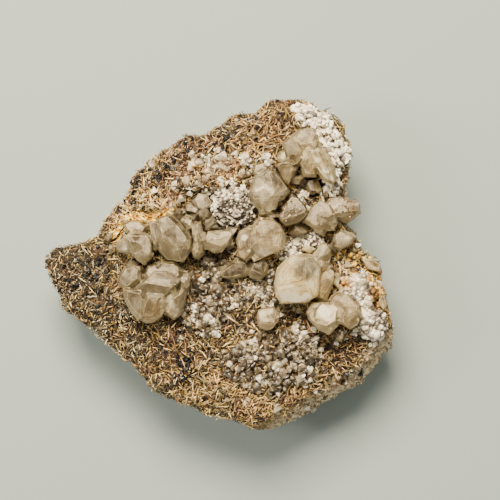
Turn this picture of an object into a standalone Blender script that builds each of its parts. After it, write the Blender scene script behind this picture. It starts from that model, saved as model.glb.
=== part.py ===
# Cerussite crystals on a plate of bladed barite, lying on its back with the crystals up.
# The shapes are worked out in millimetres and scaled to metres at the end. +X is the plate's
# width, +Y its height as it is shown, +Z the way the crystals face. The origin is on the
# resting plane, below the middle of the plate.

import itertools
import math
import random
from collections import namedtuple

import bmesh
import bpy
import numpy as np
from mathutils import Matrix, Vector, noise
from mathutils.geometry import convex_hull_2d, delaunay_2d_cdt

METRES_PER_MM = 0.001

# Driving dimensions of the plate
FACE_HEIGHT = 29.0       # resting plane to the crystal face at its middle
FACE_CROWN = 4.0         # how far the face falls from its middle to a point FACE_REACH away
FACE_REACH = 50.0
RIM_FALL = 3.0           # rounding of the broken edge
RIM_WIDTH = 4.0
BROKEN_SIDE_FALL = 10.0  # the lower right side is a steep break that shows from above
BROKEN_SIDE_WIDTH = 6.0
MIDDLE = (2.8, -4.0)     # the underside draws in towards this point
# Rings of the underside: share of the outline, share of the height, and one in how many points
UNDERSIDE_RINGS = [
    (0.965, 0.76, 1), (0.92, 0.56, 2), (0.86, 0.36, 2), (0.80, 0.20, 2), (0.73, 0.08, 3),
    (0.64, 0.0, 3),
]
GRID = 3.0               # spacing of the points of the face
GRID_JITTER = 0.5
RIM_MARGIN = 1.65        # inner points keep this far from the rim's
GAP = 0.3                # what grew on the plate keeps this gap to it

# Layers of lumps: their height, their size and the seed of their noise
FACE_LUMPS = [(1.3, 9.0, 1.0), (0.8, 3.6, 2.0)]
UNDERSIDE_LUMPS = [(1.5, 10.0, 3.0), (1.0, 4.5, 4.0)]
UNDERSIDE_JITTER = 0.6

# The broken outline, anticlockwise seen from above, from the left tip along the lower edge
OUTLINE = [
    (-50.0, 1.1), (-48.3, -2.6), (-46.0, -7.4), (-44.6, -11.9), (-40.9, -14.8), (-35.5, -17.6),
    (-31.8, -22.2), (-28.4, -25.0), (-23.0, -29.3), (-18.5, -35.5), (-9.7, -38.9), (-1.7, -42.3),
    (4.3, -43.5), (14.5, -47.4), (22.4, -43.5), (28.4, -40.0), (38.9, -34.6), (45.7, -27.8),
    (45.7, -25.8), (49.7, -23.3), (50.0, -20.4), (48.0, -14.8), (46.6, -10.2), (45.7, -5.4),
    (45.2, -1.1), (42.9, 1.7), (39.8, 4.5), (38.1, 8.5), (35.5, 11.6), (34.9, 21.6), (36.6, 31.2),
    (36.1, 35.2), (34.4, 39.8), (31.2, 43.2), (26.1, 45.4), (23.0, 47.1), (19.3, 47.4),
    (14.8, 46.6), (9.7, 42.9), (4.0, 42.0), (-4.5, 36.4), (-9.1, 36.1), (-19.9, 30.1),
    (-23.9, 24.7), (-24.7, 21.0), (-32.1, 13.4), (-34.6, 8.2), (-42.0, 5.4), (-46.9, 4.8),
]
BROKEN_SIDE = [(14.5, -47.4), (22.4, -43.5), (38.9, -34.6), (45.7, -27.8), (49.7, -23.3)]

# The lip of the raised barite at the upper left, which the row of crystals stands against. It
# has its full height up to one X and fades out towards the other.
LIP = [(-33.0, 10.5), (-28.0, 13.5), (-21.0, 16.0), (-10.0, 16.8), (-3.0, 23.0), (10.0, 31.0)]
BEYOND_LIP = [(40.0, 60.0), (-60.0, 60.0), (-60.0, 10.5)]
LIP_RISE = 3.5
LIP_WIDTH = 2.5
LIP_FULL_X = -12.0
LIP_END_X = 12.0

# Hollows of the face: middle, half sizes and depth
HOLLOW_EDGE = 1.25       # where a hollow ends, as a share of its half sizes
Hollow = namedtuple("Hollow", "x y half_x half_y depth")
HOLLOWS = [
    Hollow(-3.0, -4.0, 15.0, 9.0, 2.5),
    Hollow(22.0, -14.0, 6.0, 5.0, 2.5),
    Hollow(35.0, -23.0, 12.0, 4.0, 3.0),
    Hollow(26.5, 22.0, 5.5, 5.0, 3.0),
    Hollow(20.0, 9.0, 5.0, 4.0, 2.0),
]

# A crystal: how high it stands over the plate, its main upper faces, and its corners seen from
# above. A face is its tilt, the way it faces (0 is +X, 90 is +Y), and how far from the crystal's
# middle it starts to fall.
Crystal = namedtuple("Crystal", "rise faces corners")
DEPTH = 2.5              # how deep a crystal is rooted in the plate
WAIST = 0.5              # where a crystal is widest, as a share of its height
SHOULDER = (0.84, 0.92)  # where the bevel under the upper faces starts, least and most
SHOULDER_JITTER = 0.4
# Degrees over the horizontal that the side faces, the bevels and the lower faces look, between
SIDE_SLOPES = (3, 12)
BEVEL_SLOPES = (30, 50)
LOWER_SLOPES = (-40, -15)

CRYSTAL_GROUPS = {
    # The large crystal right of the middle, and two that stand behind its right side
    "cerussite_large": [
        Crystal(9.5, [(9, 165, 0.0), (32, 5, 3.0), (26, 268, 2.4)], [
            (22.0, 3.6), (25.8, 3.4), (27.4, 1.2), (28.5, -2.5), (28.4, -7.6), (24.5, -10.4),
            (17.2, -10.8), (15.6, -8.4), (15.2, -5.0), (15.6, -1.0), (18.6, 2.2)]),
        Crystal(6.2, [(14, 20, 0.0)], [
            (27.0, -2.0), (29.8, -2.0), (31.6, -0.7), (32.4, -2.2), (31.8, -5.6), (30.2, -9.9),
            (26.8, -8.8)]),
        Crystal(5.6, [(12, 60, 0.0)], [
            (26.0, 3.4), (28.4, 6.7), (30.2, 6.4), (31.8, 4.2), (30.4, -1.0), (27.6, -1.8)]),
    ],
    # The two below it, of which the left one catches the light
    "cerussite_glinting_pair": [
        Crystal(8.2, [(7, 100, 0.0), (30, 245, 2.4), (30, 180, 2.6)], [
            (24.1, -12.6), (26.2, -10.1), (31.4, -10.0), (33.4, -12.0), (33.4, -16.8),
            (30.8, -19.4), (27.4, -17.9), (25.0, -15.2)]),
        Crystal(8.0, [(12, 130, 0.0), (26, 290, 1.6)], [
            (30.8, -8.6), (33.4, -6.9), (36.4, -7.6), (39.6, -10.8), (40.1, -13.2), (38.8, -16.6),
            (36.6, -17.9), (34.0, -16.2), (31.6, -11.4)]),
    ],
    # The hexagonal one in the middle, with a smaller one on its left
    "cerussite_hexagonal": [
        Crystal(8.8, [(5, 70, 0.0), (30, 262, 2.2), (38, 0, 3.6), (34, 180, 3.0)], [
            (9.4, 12.0), (11.4, 13.8), (14.8, 13.6), (17.0, 11.8), (18.7, 8.4), (18.4, 5.0),
            (14.0, 3.0), (9.6, 1.0), (7.6, 4.0), (8.0, 8.6)]),
        Crystal(6.8, [(12, 160, 0.0)], [
            (4.4, 7.4), (5.4, 9.8), (8.0, 11.6), (10.2, 11.4), (9.8, 3.0), (7.6, 1.1),
            (5.0, 2.8)]),
    ],
    # The domed one above it, with a small one behind and one below
    "cerussite_domed": [
        Crystal(8.8, [(9, 140, 0.0), (17, 40, 1.2), (30, 330, 2.6), (30, 262, 2.8)], [
            (8.1, 20.8), (9.8, 25.6), (13.6, 27.8), (15.6, 27.0), (18.2, 23.0), (19.9, 21.2),
            (18.2, 18.2), (15.6, 16.6), (11.8, 16.3), (9.0, 17.8)]),
        Crystal(5.0, [(10, 110, 0.0)], [
            (9.2, 26.4), (9.8, 28.7), (11.8, 29.3), (15.2, 28.4), (15.0, 26.4), (10.0, 25.0)]),
        Crystal(5.0, [(14, 250, 0.0)], [
            (10.2, 16.8), (15.4, 17.0), (15.6, 14.3), (11.2, 13.8)]),
    ],
    # The group at the top right: two blocks, a fan of three laths and a side crystal
    "cerussite_fan": [
        Crystal(7.2, [(12, 100, 0.0)], [
            (19.8, 36.6), (21.6, 38.2), (24.6, 39.1), (26.8, 38.4), (28.1, 35.6), (27.2, 33.0),
            (23.0, 32.4), (20.2, 34.6)]),
        Crystal(7.2, [(12, 200, 0.0)], [
            (17.5, 34.2), (19.4, 36.1), (22.4, 35.2), (24.4, 33.0), (23.9, 30.1), (22.0, 28.0),
            (18.6, 30.2)]),
        Crystal(8.0, [(12, 190, 0.0), (38, 15, 0.9)], [
            (22.2, 30.4), (24.0, 33.2), (26.2, 33.2), (27.4, 28.0), (27.2, 24.9), (23.3, 25.0)]),
        Crystal(9.0, [(20, 200, 0.0), (34, 22, 0.5)], [
            (25.6, 32.6), (27.4, 34.0), (28.8, 33.0), (31.2, 27.4), (31.2, 23.0), (28.6, 24.4),
            (26.0, 28.6)]),
        Crystal(7.8, [(16, 205, 0.0), (36, 25, 0.7)], [
            (28.0, 33.8), (30.2, 32.8), (32.6, 28.0), (33.2, 24.4), (31.8, 22.8), (29.8, 24.4),
            (28.2, 29.5)]),
        Crystal(5.4, [(14, 230, 0.0)], [
            (15.8, 28.6), (17.4, 30.1), (20.6, 30.4), (22.4, 28.0), (19.4, 22.0), (17.6, 24.2)]),
    ],
    # The porous one, eaten into on its lower side, and one that it leans on
    "cerussite_etched": [
        Crystal(6.8, [(11, 120, 0.0), (30, 285, 1.6)], [
            (16.3, 14.0), (17.8, 17.6), (20.2, 20.3), (22.4, 19.4), (24.8, 16.2), (24.7, 13.8),
            (22.0, 11.9), (18.8, 11.1), (17.0, 12.4)]),
        Crystal(4.4, [(12, 280, 0.0)], [
            (19.9, 11.4), (22.6, 12.6), (25.0, 11.4), (23.6, 9.1), (21.4, 8.8)]),
    ],
    # The one that stands out over the right edge, and the one that it leans on
    "cerussite_overhanging": [
        Crystal(8.2, [(13, 85, 0.0), (27, 282, 1.2)], [
            (28.8, 15.8), (30.4, 19.0), (34.0, 19.8), (38.4, 18.7), (40.0, 17.0), (40.1, 15.0),
            (38.0, 13.2), (35.6, 12.0), (30.6, 13.8)]),
        Crystal(7.0, [(14, 140, 0.0), (28, 295, 1.2)], [
            (22.6, 12.8), (25.2, 16.2), (28.2, 18.6), (31.6, 17.0), (33.3, 12.4), (32.2, 10.0),
            (29.4, 9.6), (24.6, 11.2)]),
    ],
    # The tall hexagonal one at the left, and a narrow one on its left
    "cerussite_left": [
        Crystal(8.8, [(7, 60, 0.0), (36, 232, 1.4), (24, 300, 3.6)], [
            (-18.4, 12.0), (-17.6, 13.6), (-13.6, 14.8), (-11.2, 12.6), (-7.1, 7.6), (-7.4, 5.2),
            (-10.2, 0.9), (-14.8, 1.6), (-17.0, 3.8), (-17.8, 8.0)]),
        Crystal(5.0, [(12, 150, 0.0)], [
            (-20.2, 12.4), (-17.6, 12.8), (-16.6, 7.6), (-17.2, 4.4), (-18.8, 4.0),
            (-19.6, 8.4)]),
    ],
    # Those between the left one and the middle
    "cerussite_row": [
        Crystal(6.8, [(18, 180, 0.6), (22, 0, 0.6), (30, 270, 3.2)], [
            (-7.8, 11.4), (-6.9, 13.0), (-5.2, 12.8), (-4.2, 8.0), (-4.0, 3.6), (-5.6, 1.9),
            (-7.2, 1.9), (-8.2, 4.0)]),
        Crystal(6.4, [(12, 80, 0.0), (34, 250, 1.6), (28, 320, 1.8)], [
            (-4.6, 7.4), (-3.4, 9.8), (0.0, 10.2), (3.4, 10.2), (3.9, 8.2), (2.8, 5.6),
            (0.8, 3.9), (-1.6, 3.5), (-4.2, 5.0)]),
        Crystal(4.6, [(16, 120, 0.0)], [
            (-11.6, 12.8), (-9.6, 14.9), (-7.2, 13.8), (-7.2, 10.4), (-9.2, 10.0)]),
        Crystal(4.6, [(12, 60, 0.0)], [
            (-5.2, 12.4), (-4.8, 15.2), (-2.6, 15.4), (-1.5, 12.8), (-2.4, 10.0), (-4.6, 10.0)]),
    ],
    "cerussite_far_left": [
        Crystal(7.8, [(12, 60, 0.0), (34, 240, 1.2)], [
            (-26.8, 8.2), (-25.0, 9.8), (-20.0, 9.2), (-18.7, 7.4), (-18.3, 3.2), (-21.2, 0.0),
            (-23.2, 1.4), (-26.0, 5.4)]),
        Crystal(6.4, [(12, 100, 0.0)], [
            (-27.2, 11.8), (-25.4, 13.0), (-22.6, 12.8), (-20.2, 11.2), (-20.8, 8.4),
            (-26.0, 8.8)]),
        Crystal(4.6, [(16, 160, 0.0)], [
            (-29.6, 5.6), (-28.6, 7.2), (-27.0, 7.8), (-24.4, 5.0), (-24.4, 2.8), (-28.4, 3.9)]),
    ],
    # The cluster at the lower left, with a ridged crystal across it
    "cerussite_cluster": [
        Crystal(7.0, [(20, 150, 0.0)], [
            (-28.6, -5.2), (-28.6, -3.2), (-26.6, -0.2), (-24.2, 0.8), (-22.0, 0.2),
            (-21.6, -4.4), (-26.4, -7.4)]),
        Crystal(7.2, [(18, 90, 0.0)], [
            (-21.6, -2.4), (-20.4, 0.2), (-16.4, 1.7), (-12.2, 1.3), (-10.2, -0.8), (-10.4, -4.4),
            (-20.8, -4.8)]),
        Crystal(10.0, [(24, 78, 0.0), (32, 262, 0.6)], [
            (-25.0, -6.8), (-21.0, -3.0), (-18.4, -0.7), (-12.0, -0.9), (-10.0, -2.6),
            (-11.0, -5.4), (-13.8, -8.0), (-17.4, -8.8), (-22.0, -8.4)]),
        Crystal(7.8, [(14, 215, 0.0)], [
            (-27.4, -5.6), (-20.6, -6.0), (-19.4, -10.0), (-20.8, -15.2), (-23.0, -15.4),
            (-24.8, -13.4), (-26.9, -9.4)]),
        Crystal(7.0, [(18, 265, 0.0)], [
            (-21.0, -7.0), (-15.0, -7.2), (-14.2, -10.8), (-15.8, -14.0), (-18.4, -15.8),
            (-20.8, -16.3), (-22.4, -15.2)]),
        Crystal(7.6, [(16, 310, 0.0)], [
            (-14.8, -8.6), (-11.2, -6.2), (-9.0, -7.0), (-9.7, -11.0), (-11.0, -14.0),
            (-12.8, -15.3), (-16.2, -13.0)]),
        Crystal(6.6, [(16, 10, 0.0)], [
            (-11.8, -0.8), (-9.0, -1.2), (-8.0, -3.4), (-8.2, -6.0), (-9.2, -8.0), (-12.6, -7.8),
            (-12.8, -4.3)]),
    ],
    "cerussite_flat_pair": [
        Crystal(4.6, [(10, 200, 0.0)], [
            (-0.4, -2.2), (1.4, -0.6), (4.6, 2.5), (8.4, 2.2), (8.8, -0.8), (7.6, -3.2),
            (3.0, -3.8), (0.4, -3.4)]),
        Crystal(5.4, [(10, 60, 0.0), (26, 250, 1.2)], [
            (7.8, -1.2), (9.4, 1.8), (12.4, 2.5), (13.9, 0.6), (13.5, -2.2), (11.4, -4.2),
            (8.4, -3.4)]),
    ],
    "cerussite_grey_right": [
        Crystal(5.4, [(10, 110, 0.0)], [
            (31.6, 7.0), (32.2, 9.4), (34.0, 10.5), (37.2, 9.4), (38.6, 8.4), (36.6, 5.8),
            (33.5, 4.4), (31.8, 5.2)]),
    ],
    "cerussite_round": [
        Crystal(5.4, [(10, 100, 0.0), (22, 260, 1.2)], [
            (10.2, -14.4), (10.8, -12.4), (12.4, -11.5), (15.2, -11.2), (17.0, -13.4),
            (16.6, -15.6), (15.0, -17.6), (13.0, -18.2), (11.2, -17.4)]),
    ],
    "cerussite_grey_left": [
        Crystal(4.6, [(10, 90, 0.0)], [
            (-7.6, 18.6), (-6.4, 20.9), (-3.6, 20.6), (-1.9, 17.6), (-3.8, 15.3), (-6.8, 16.0)]),
    ],
    "cerussite_in_hollow": [
        Crystal(3.4, [(12, 60, 0.0)], [
            (24.0, 24.6), (26.1, 24.6), (27.9, 23.0), (27.8, 20.8), (25.8, 19.9), (24.0, 22.0)]),
    ],
    # Two small tabular ones on the right edge
    "cerussite_right_edge": [
        Crystal(4.0, [(20, 80, 0.0)], [
            (39.6, 2.2), (42.9, 2.2), (45.7, 0.2), (45.4, -1.9), (41.6, -1.1)]),
    ],
    "cerussite_lower_edge": [
        Crystal(4.0, [(22, 30, 0.0)], [
            (44.7, -8.0), (46.8, -8.3), (47.6, -11.4), (46.0, -13.3), (44.4, -10.8)]),
    ],
}

# A crust of small growths: its middle line, half width, how high it stands, and how rough
Crust = namedtuple("Crust", "spine half_width rise bump")
CRUSTS = {
    "white_mound": Crust([(2.6, 16.4), (4.8, 16.0)], 5.8, 4.5, 0.7),
    "white_crust_top": Crust(
        [(24.0, 43.0), (30.0, 40.0), (32.5, 35.0), (33.5, 30.0), (33.0, 22.5)], 3.6, 2.2, 0.7
    ),
    "white_crust_right": Crust([(39.0, -6.5), (42.0, -12.0), (43.0, -17.0)], 4.2, 2.6, 0.8),
    "white_crust_middle": Crust([(18.0, 2.6), (21.5, 6.6), (26.5, 7.6)], 2.6, 1.6, 0.6),
    "druse_lower": Crust([(7.5, -27.0), (14.5, -29.0), (21.5, -26.0)], 7.4, 1.8, 0.8),
    "druse_middle": Crust([(-3.0, -2.5), (-2.5, -9.0), (-3.5, -15.0)], 5.4, 1.8, 0.8),
    "druse_inner": Crust([(5.5, -7.6), (12.5, -7.2), (16.0, -8.6)], 2.6, 1.6, 0.7),
    "druse_upper": Crust([(-9.0, 25.5), (-2.0, 25.5), (4.0, 28.0)], 5.2, 1.6, 0.7),
}
CRUST_GRID = 2.5
CRUST_JITTER = 0.35
CRUST_DIVE = 1.0         # how far a crust's fringe lies below the face
CRUST_ROOT = 4.0         # how far a crust reaches below the plate's face before it is cut

# The coarsest barite blades, which are fused with the plate
BLADE = Vector((4.4, 1.4, 0.7))
BLADE_NARROW = 0.7       # length of a blade's lower edge, as a share of its upper edge
BLADE_LIFT = 0.2
BLADE_PITCHES = (-38, 38)
BLADE_ROLLS = (15, 90)
BLADE_SPACING = 6.3
BLADE_TRIES = 4000


def remove_start_objects():
    for old in list(bpy.data.objects):
        bpy.data.objects.remove(old)


def stone_material(name, colour, roughness):
    made = bpy.data.materials.new(name)
    made.use_nodes = True
    shader = made.node_tree.nodes["Principled BSDF"]
    shader.inputs["Base Color"].default_value = (*colour, 1.0)
    shader.inputs["Roughness"].default_value = roughness
    shader.inputs["Metallic"].default_value = 0.0
    return made


def new_object(name, shape):
    """An object from a bmesh, which is freed."""
    bmesh.ops.recalc_face_normals(shape, faces=shape.faces[:])
    mesh = bpy.data.meshes.new(name)
    shape.to_mesh(mesh)
    shape.free()
    made = bpy.data.objects.new(name, mesh)
    bpy.context.scene.collection.objects.link(made)
    return made


def boolean(target, other, operation):
    """Joins other to target, or cuts it away, and keeps only the result."""
    modifier = target.modifiers.new(operation, "BOOLEAN")
    modifier.object = other
    modifier.operation = operation
    modifier.solver = "EXACT"
    modifier.use_self = operation == "UNION"
    evaluated = target.evaluated_get(bpy.context.evaluated_depsgraph_get())
    result = bpy.data.meshes.new_from_object(evaluated)
    target.modifiers.clear()
    target.data = result


def keep_largest_body(target):
    """A cut can leave crumbs. Only the largest connected body stays."""
    shape = bmesh.new()
    shape.from_mesh(target.data)
    bodies = []
    waiting = set(shape.faces)
    while waiting:
        body = {waiting.pop()}
        front = list(body)
        while front:
            face = front.pop()
            for edge in face.edges:
                for near in edge.link_faces:
                    if near in waiting:
                        waiting.discard(near)
                        body.add(near)
                        front.append(near)
        bodies.append(body)
    bodies.sort(key=lambda faces: sum(face.calc_area() for face in faces))
    crumbs = [face for body in bodies[:-1] for face in body]
    bmesh.ops.delete(shape, geom=crumbs, context="FACES")
    shape.to_mesh(target.data)
    shape.free()


def distance_to_line(x, y, points):
    """The distance from a point to the open line through the points."""
    if len(points) == 1:
        return math.hypot(x - points[0][0], y - points[0][1])
    nearest = math.inf
    for (ax, ay), (bx, by) in zip(points, points[1:]):
        along = (x - ax) * (bx - ax) + (y - ay) * (by - ay)
        share = min(1.0, max(0.0, along / ((bx - ax) ** 2 + (by - ay) ** 2)))
        gap = math.hypot(x - ax - share * (bx - ax), y - ay - share * (by - ay))
        nearest = min(nearest, gap)
    return nearest


def inside_loop(x, y, loop):
    """Whether a point is inside a closed loop, by counting the edges to its right."""
    inside = False
    for (ax, ay), (bx, by) in zip(loop, loop[1:] + loop[:1]):
        if (ay > y) != (by > y) and x < ax + (y - ay) / (by - ay) * (bx - ax):
            inside = not inside
    return inside


def evenly_spaced(loop, spacing):
    """The closed loop with a point about every spacing along its sides."""
    points = []
    for (ax, ay), (bx, by) in zip(loop, loop[1:] + loop[:1]):
        steps = max(1, round(math.hypot(bx - ax, by - ay) / spacing))
        for step in range(steps):
            share = step / steps
            points.append((ax + share * (bx - ax), ay + share * (by - ay)))
    return points


def smooth(share):
    """A soft step from 0 to 1."""
    share = min(1.0, max(0.0, share))
    return share * share * (3.0 - 2.0 * share)


def lumps(x, y, layers):
    """The summed height of layers of smooth noise."""
    return sum(
        height * noise.noise(Vector((x / size, y / size, seed))) for height, size, seed in layers
    )


def face_height(x, y):
    """Height of the plate's crystal face over the resting plane."""
    height = FACE_HEIGHT - FACE_CROWN * (x * x + y * y) / FACE_REACH**2
    above_lip = inside_loop(x, y, LIP + BEYOND_LIP)
    from_lip = distance_to_line(x, y, LIP) * (1 if above_lip else -1)
    lip_strength = smooth((LIP_END_X - x) / (LIP_END_X - LIP_FULL_X))
    height += LIP_RISE * lip_strength * smooth(from_lip / LIP_WIDTH + 0.5)
    for hollow in HOLLOWS:
        reach = math.hypot((x - hollow.x) / hollow.half_x, (y - hollow.y) / hollow.half_y)
        height -= hollow.depth * smooth(HOLLOW_EDGE - reach)
    from_rim = distance_to_line(x, y, OUTLINE + OUTLINE[:1])
    height -= RIM_FALL * (1.0 - smooth(from_rim / RIM_WIDTH)) ** 2
    from_side = distance_to_line(x, y, BROKEN_SIDE)
    height -= BROKEN_SIDE_FALL * (1.0 - smooth(from_side / BROKEN_SIDE_WIDTH))
    return height + lumps(x, y, FACE_LUMPS)


def hexagonal_grid(low_x, high_x, low_y, high_y, spacing, jitter, draw):
    """Points of a jittered grid of triangles."""
    points = []
    row_height = spacing * math.sqrt(3) / 2
    for row in range(int((high_y - low_y) / row_height) + 1):
        shift = spacing / 2 if row % 2 else 0.0
        for column in range(int((high_x - low_x) / spacing) + 1):
            x = low_x + shift + column * spacing + draw.uniform(-jitter, jitter)
            y = low_y + row * row_height + draw.uniform(-jitter, jitter)
            points.append((x, y))
    return points


def triangulated(points, loop_length):
    """Triangles over the points. The first loop_length of them are the closed outline."""
    edges = [(i, (i + 1) % loop_length) for i in range(loop_length)]
    flat = [Vector(point) for point in points]
    found = delaunay_2d_cdt(flat, edges, [], 1, 1e-4)
    return [tuple(face) for face in found[2]]


def plate_points():
    """The rim and the inner points of the crystal face, as the rim's length and all points."""
    draw = random.Random(7)
    rim = evenly_spaced(OUTLINE, GRID)
    inner = [
        (x, y)
        for x, y in hexagonal_grid(-52.0, 52.0, -50.0, 50.0, GRID, GRID_JITTER, draw)
        if inside_loop(x, y, rim) and distance_to_line(x, y, rim + rim[:1]) > RIM_MARGIN
    ]
    return len(rim), rim + inner


def underside_points(rim):
    """Rings that draw in from the rim to the flat patch, rough as broken rock is."""
    draw = random.Random(5)
    points = []
    for share, height_share, every in UNDERSIDE_RINGS:
        for x, y in rim[::every]:
            rough = UNDERSIDE_JITTER if height_share else 0.0
            height = height_share * face_height(x, y) + rough * draw.uniform(-1.0, 1.0)
            x = MIDDLE[0] + share * (x - MIDDLE[0]) + rough * draw.uniform(-1.0, 1.0)
            y = MIDDLE[1] + share * (y - MIDDLE[1]) + rough * draw.uniform(-1.0, 1.0)
            if height_share:
                height += lumps(x, y, UNDERSIDE_LUMPS)
            points.append((x, y, max(0.0, height)))
    return points


def make_plate():
    """The plate, and a cutter that stands GAP proud of it, for what grows on the plate."""
    rim_length, points = plate_points()
    rim = points[:rim_length]
    face = [Vector((x, y, face_height(x, y))) for x, y in points]
    triangles = triangulated(points, rim_length)

    plate = bmesh.new()
    top = [plate.verts.new(point) for point in face]
    for triangle in triangles:
        plate.faces.new([top[i] for i in triangle])
    under = underside_points(rim)
    under_flat = rim + [(x, y) for x, y, _ in under]
    bottom = top[:rim_length] + [plate.verts.new(point) for point in under]
    for triangle in triangulated(under_flat, rim_length):
        plate.faces.new([bottom[i] for i in reversed(triangle)])

    cutter = bmesh.new()
    raised = [cutter.verts.new(point + Vector((0.0, 0.0, GAP))) for point in face]
    for triangle in triangles:
        cutter.faces.new([raised[i] for i in triangle])
    edge, foot = [], []
    for i in range(rim_length):
        along = face[(i + 1) % rim_length] - face[i - 1]
        outward = Vector((along.y, -along.x, 0.0)).normalized() * GAP
        edge.append(cutter.verts.new(raised[i].co + outward))
        foot.append(cutter.verts.new((edge[i].co.x, edge[i].co.y, -GAP)))
    for i in range(rim_length):
        j = (i + 1) % rim_length
        cutter.faces.new((raised[i], edge[i], edge[j], raised[j]))
        cutter.faces.new((edge[i], foot[i], foot[j], edge[j]))
    cutter.faces.new(foot)
    return new_object("barite_plate", plate), new_object("plate_cutter", cutter)


def middle_of(crystal):
    """The middle of a crystal's corners."""
    count = len(crystal.corners)
    return sum(x for x, _ in crystal.corners) / count, sum(y for _, y in crystal.corners) / count


def sloping(azimuth, elevation):
    """The unit vector with that azimuth and elevation, in radians."""
    flat = math.cos(elevation)
    return Vector((flat * math.cos(azimuth), flat * math.sin(azimuth), math.sin(elevation)))


def crystal_planes(crystal, draw):
    """The planes of a crystal's faces, each as a point and a direction outwards.

    Over every side of its outline stand a steep face, a bevel and a face that draws in below.
    """
    x, y = middle_of(crystal)
    low = face_height(x, y) - DEPTH
    high = face_height(x, y) + crystal.rise
    waist = low + WAIST * (high - low)
    shoulder = low + draw.uniform(*SHOULDER) * (high - low)
    planes = [(Vector((x, y, low)), Vector((0.0, 0.0, -1.0)))]
    for tilt, toward, start in crystal.faces:
        normal = sloping(math.radians(toward), math.radians(90 - tilt))
        foot = Vector((math.cos(math.radians(toward)), math.sin(math.radians(toward)), 0.0))
        planes.append((Vector((x, y, high)) + start * foot, normal))
    outer = [crystal.corners[i] for i in convex_hull_2d([Vector(c) for c in crystal.corners])]
    for (ax, ay), (bx, by) in zip(outer, outer[1:] + outer[:1]):
        azimuth = math.atan2(bx - ax, ay - by)
        if math.cos(azimuth) * (ax - x) + math.sin(azimuth) * (ay - y) < 0:
            azimuth += math.pi
        side = Vector((ax, ay, waist))
        lift = draw.uniform(-SHOULDER_JITTER, SHOULDER_JITTER)
        above = Vector((ax, ay, shoulder + lift))
        for point, slopes in (
            (side, SIDE_SLOPES), (above, BEVEL_SLOPES), (side, LOWER_SLOPES)
        ):
            planes.append((point, sloping(azimuth, math.radians(draw.uniform(*slopes)))))
    return planes


def crystal_shape(crystal, seed, grow=0.0):
    """One crystal: the room between its face planes. Grow moves every face outwards."""
    planes = crystal_planes(crystal, random.Random(seed))
    normals = np.array([normal for _, normal in planes])
    offsets = np.array([normal.dot(point) + grow for point, normal in planes])
    triples = np.array(list(itertools.combinations(range(len(planes)), 3)))
    meeting = np.abs(np.linalg.det(normals[triples])) > 1e-3
    triples = triples[meeting]
    points = np.linalg.solve(normals[triples], offsets[triples][..., None])[..., 0]
    points = points[(points @ normals.T < offsets + 1e-6).all(axis=1)]
    shape = bmesh.new()
    for point in points:
        shape.verts.new(point)
    bmesh.ops.remove_doubles(shape, verts=shape.verts[:], dist=0.05)
    hull = bmesh.ops.convex_hull(shape, input=shape.verts[:])
    unused = [part for part in hull["geom_interior"] if isinstance(part, bmesh.types.BMVert)]
    bmesh.ops.delete(shape, geom=unused, context="VERTS")
    bmesh.ops.dissolve_limit(
        shape, angle_limit=math.radians(0.5), verts=shape.verts[:], edges=shape.edges[:]
    )
    return shape


def crystal_group(name, grow=0.0):
    """The crystals of one group, joined where they have grown together."""
    group = None
    for number, crystal in enumerate(CRYSTAL_GROUPS[name]):
        made = new_object(name, crystal_shape(crystal, f"{name} {number}", grow))
        if group is None:
            group = made
            continue
        boolean(group, made, "UNION")
        bpy.data.objects.remove(made)
    return group


def crust_shape(crust, seed, grow=0.0):
    """A rough mat over the face, which dives below the face all round."""
    draw = random.Random(seed)
    xs = [x for x, _ in crust.spine]
    ys = [y for _, y in crust.spine]
    reach = crust.half_width + CRUST_GRID
    grid = hexagonal_grid(
        min(xs) - reach, max(xs) + reach, min(ys) - reach, max(ys) + reach,
        CRUST_GRID, CRUST_JITTER, draw,
    )
    tops = []
    for x, y in grid:
        share = distance_to_line(x, y, crust.spine) / crust.half_width
        swell = math.sqrt(max(0.0, 1.0 - share * share))
        bump = crust.bump * draw.uniform(-1.0, 1.0) * min(1.0, 2.0 * swell)
        rise = crust.rise * swell + bump if share < 1.0 else -CRUST_DIVE
        tops.append((x, y, face_height(x, y) + rise + grow))
    found = delaunay_2d_cdt([Vector((x, y)) for x, y, _ in tops], [], [], 0, 1e-4)
    triangles = []
    for face in found[2]:
        x = sum(tops[i][0] for i in face) / 3
        y = sum(tops[i][1] for i in face) / 3
        over_plate = all(inside_loop(*tops[i][:2], OUTLINE) for i in face)
        if distance_to_line(x, y, crust.spine) < reach - CRUST_GRID / 3 and over_plate:
            triangles.append(tuple(face))

    shape = bmesh.new()
    used = sorted({i for triangle in triangles for i in triangle})
    above = {i: shape.verts.new(tops[i]) for i in used}
    below = {i: shape.verts.new((*tops[i][:2], tops[i][2] - CRUST_ROOT)) for i in used}
    for triangle in triangles:
        shape.faces.new([above[i] for i in triangle])
        shape.faces.new([below[i] for i in reversed(triangle)])
    sides = {}
    for a, b, c in triangles:
        for edge in ((a, b), (b, c), (c, a)):
            sides[frozenset(edge)] = None if frozenset(edge) in sides else edge
    for edge in filter(None, sides.values()):
        shape.faces.new((above[edge[1]], above[edge[0]], below[edge[0]], below[edge[1]]))
    return shape


def clear_of_growths(x, y, margin):
    """Whether a place on the face is clear of every crystal and crust."""
    for crystals in CRYSTAL_GROUPS.values():
        for crystal in crystals:
            if inside_loop(x, y, crystal.corners):
                return False
            if distance_to_line(x, y, crystal.corners + crystal.corners[:1]) < margin:
                return False
    for crust in CRUSTS.values():
        if distance_to_line(x, y, crust.spine) < crust.half_width + CRUST_GRID + margin:
            return False
    return True


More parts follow.
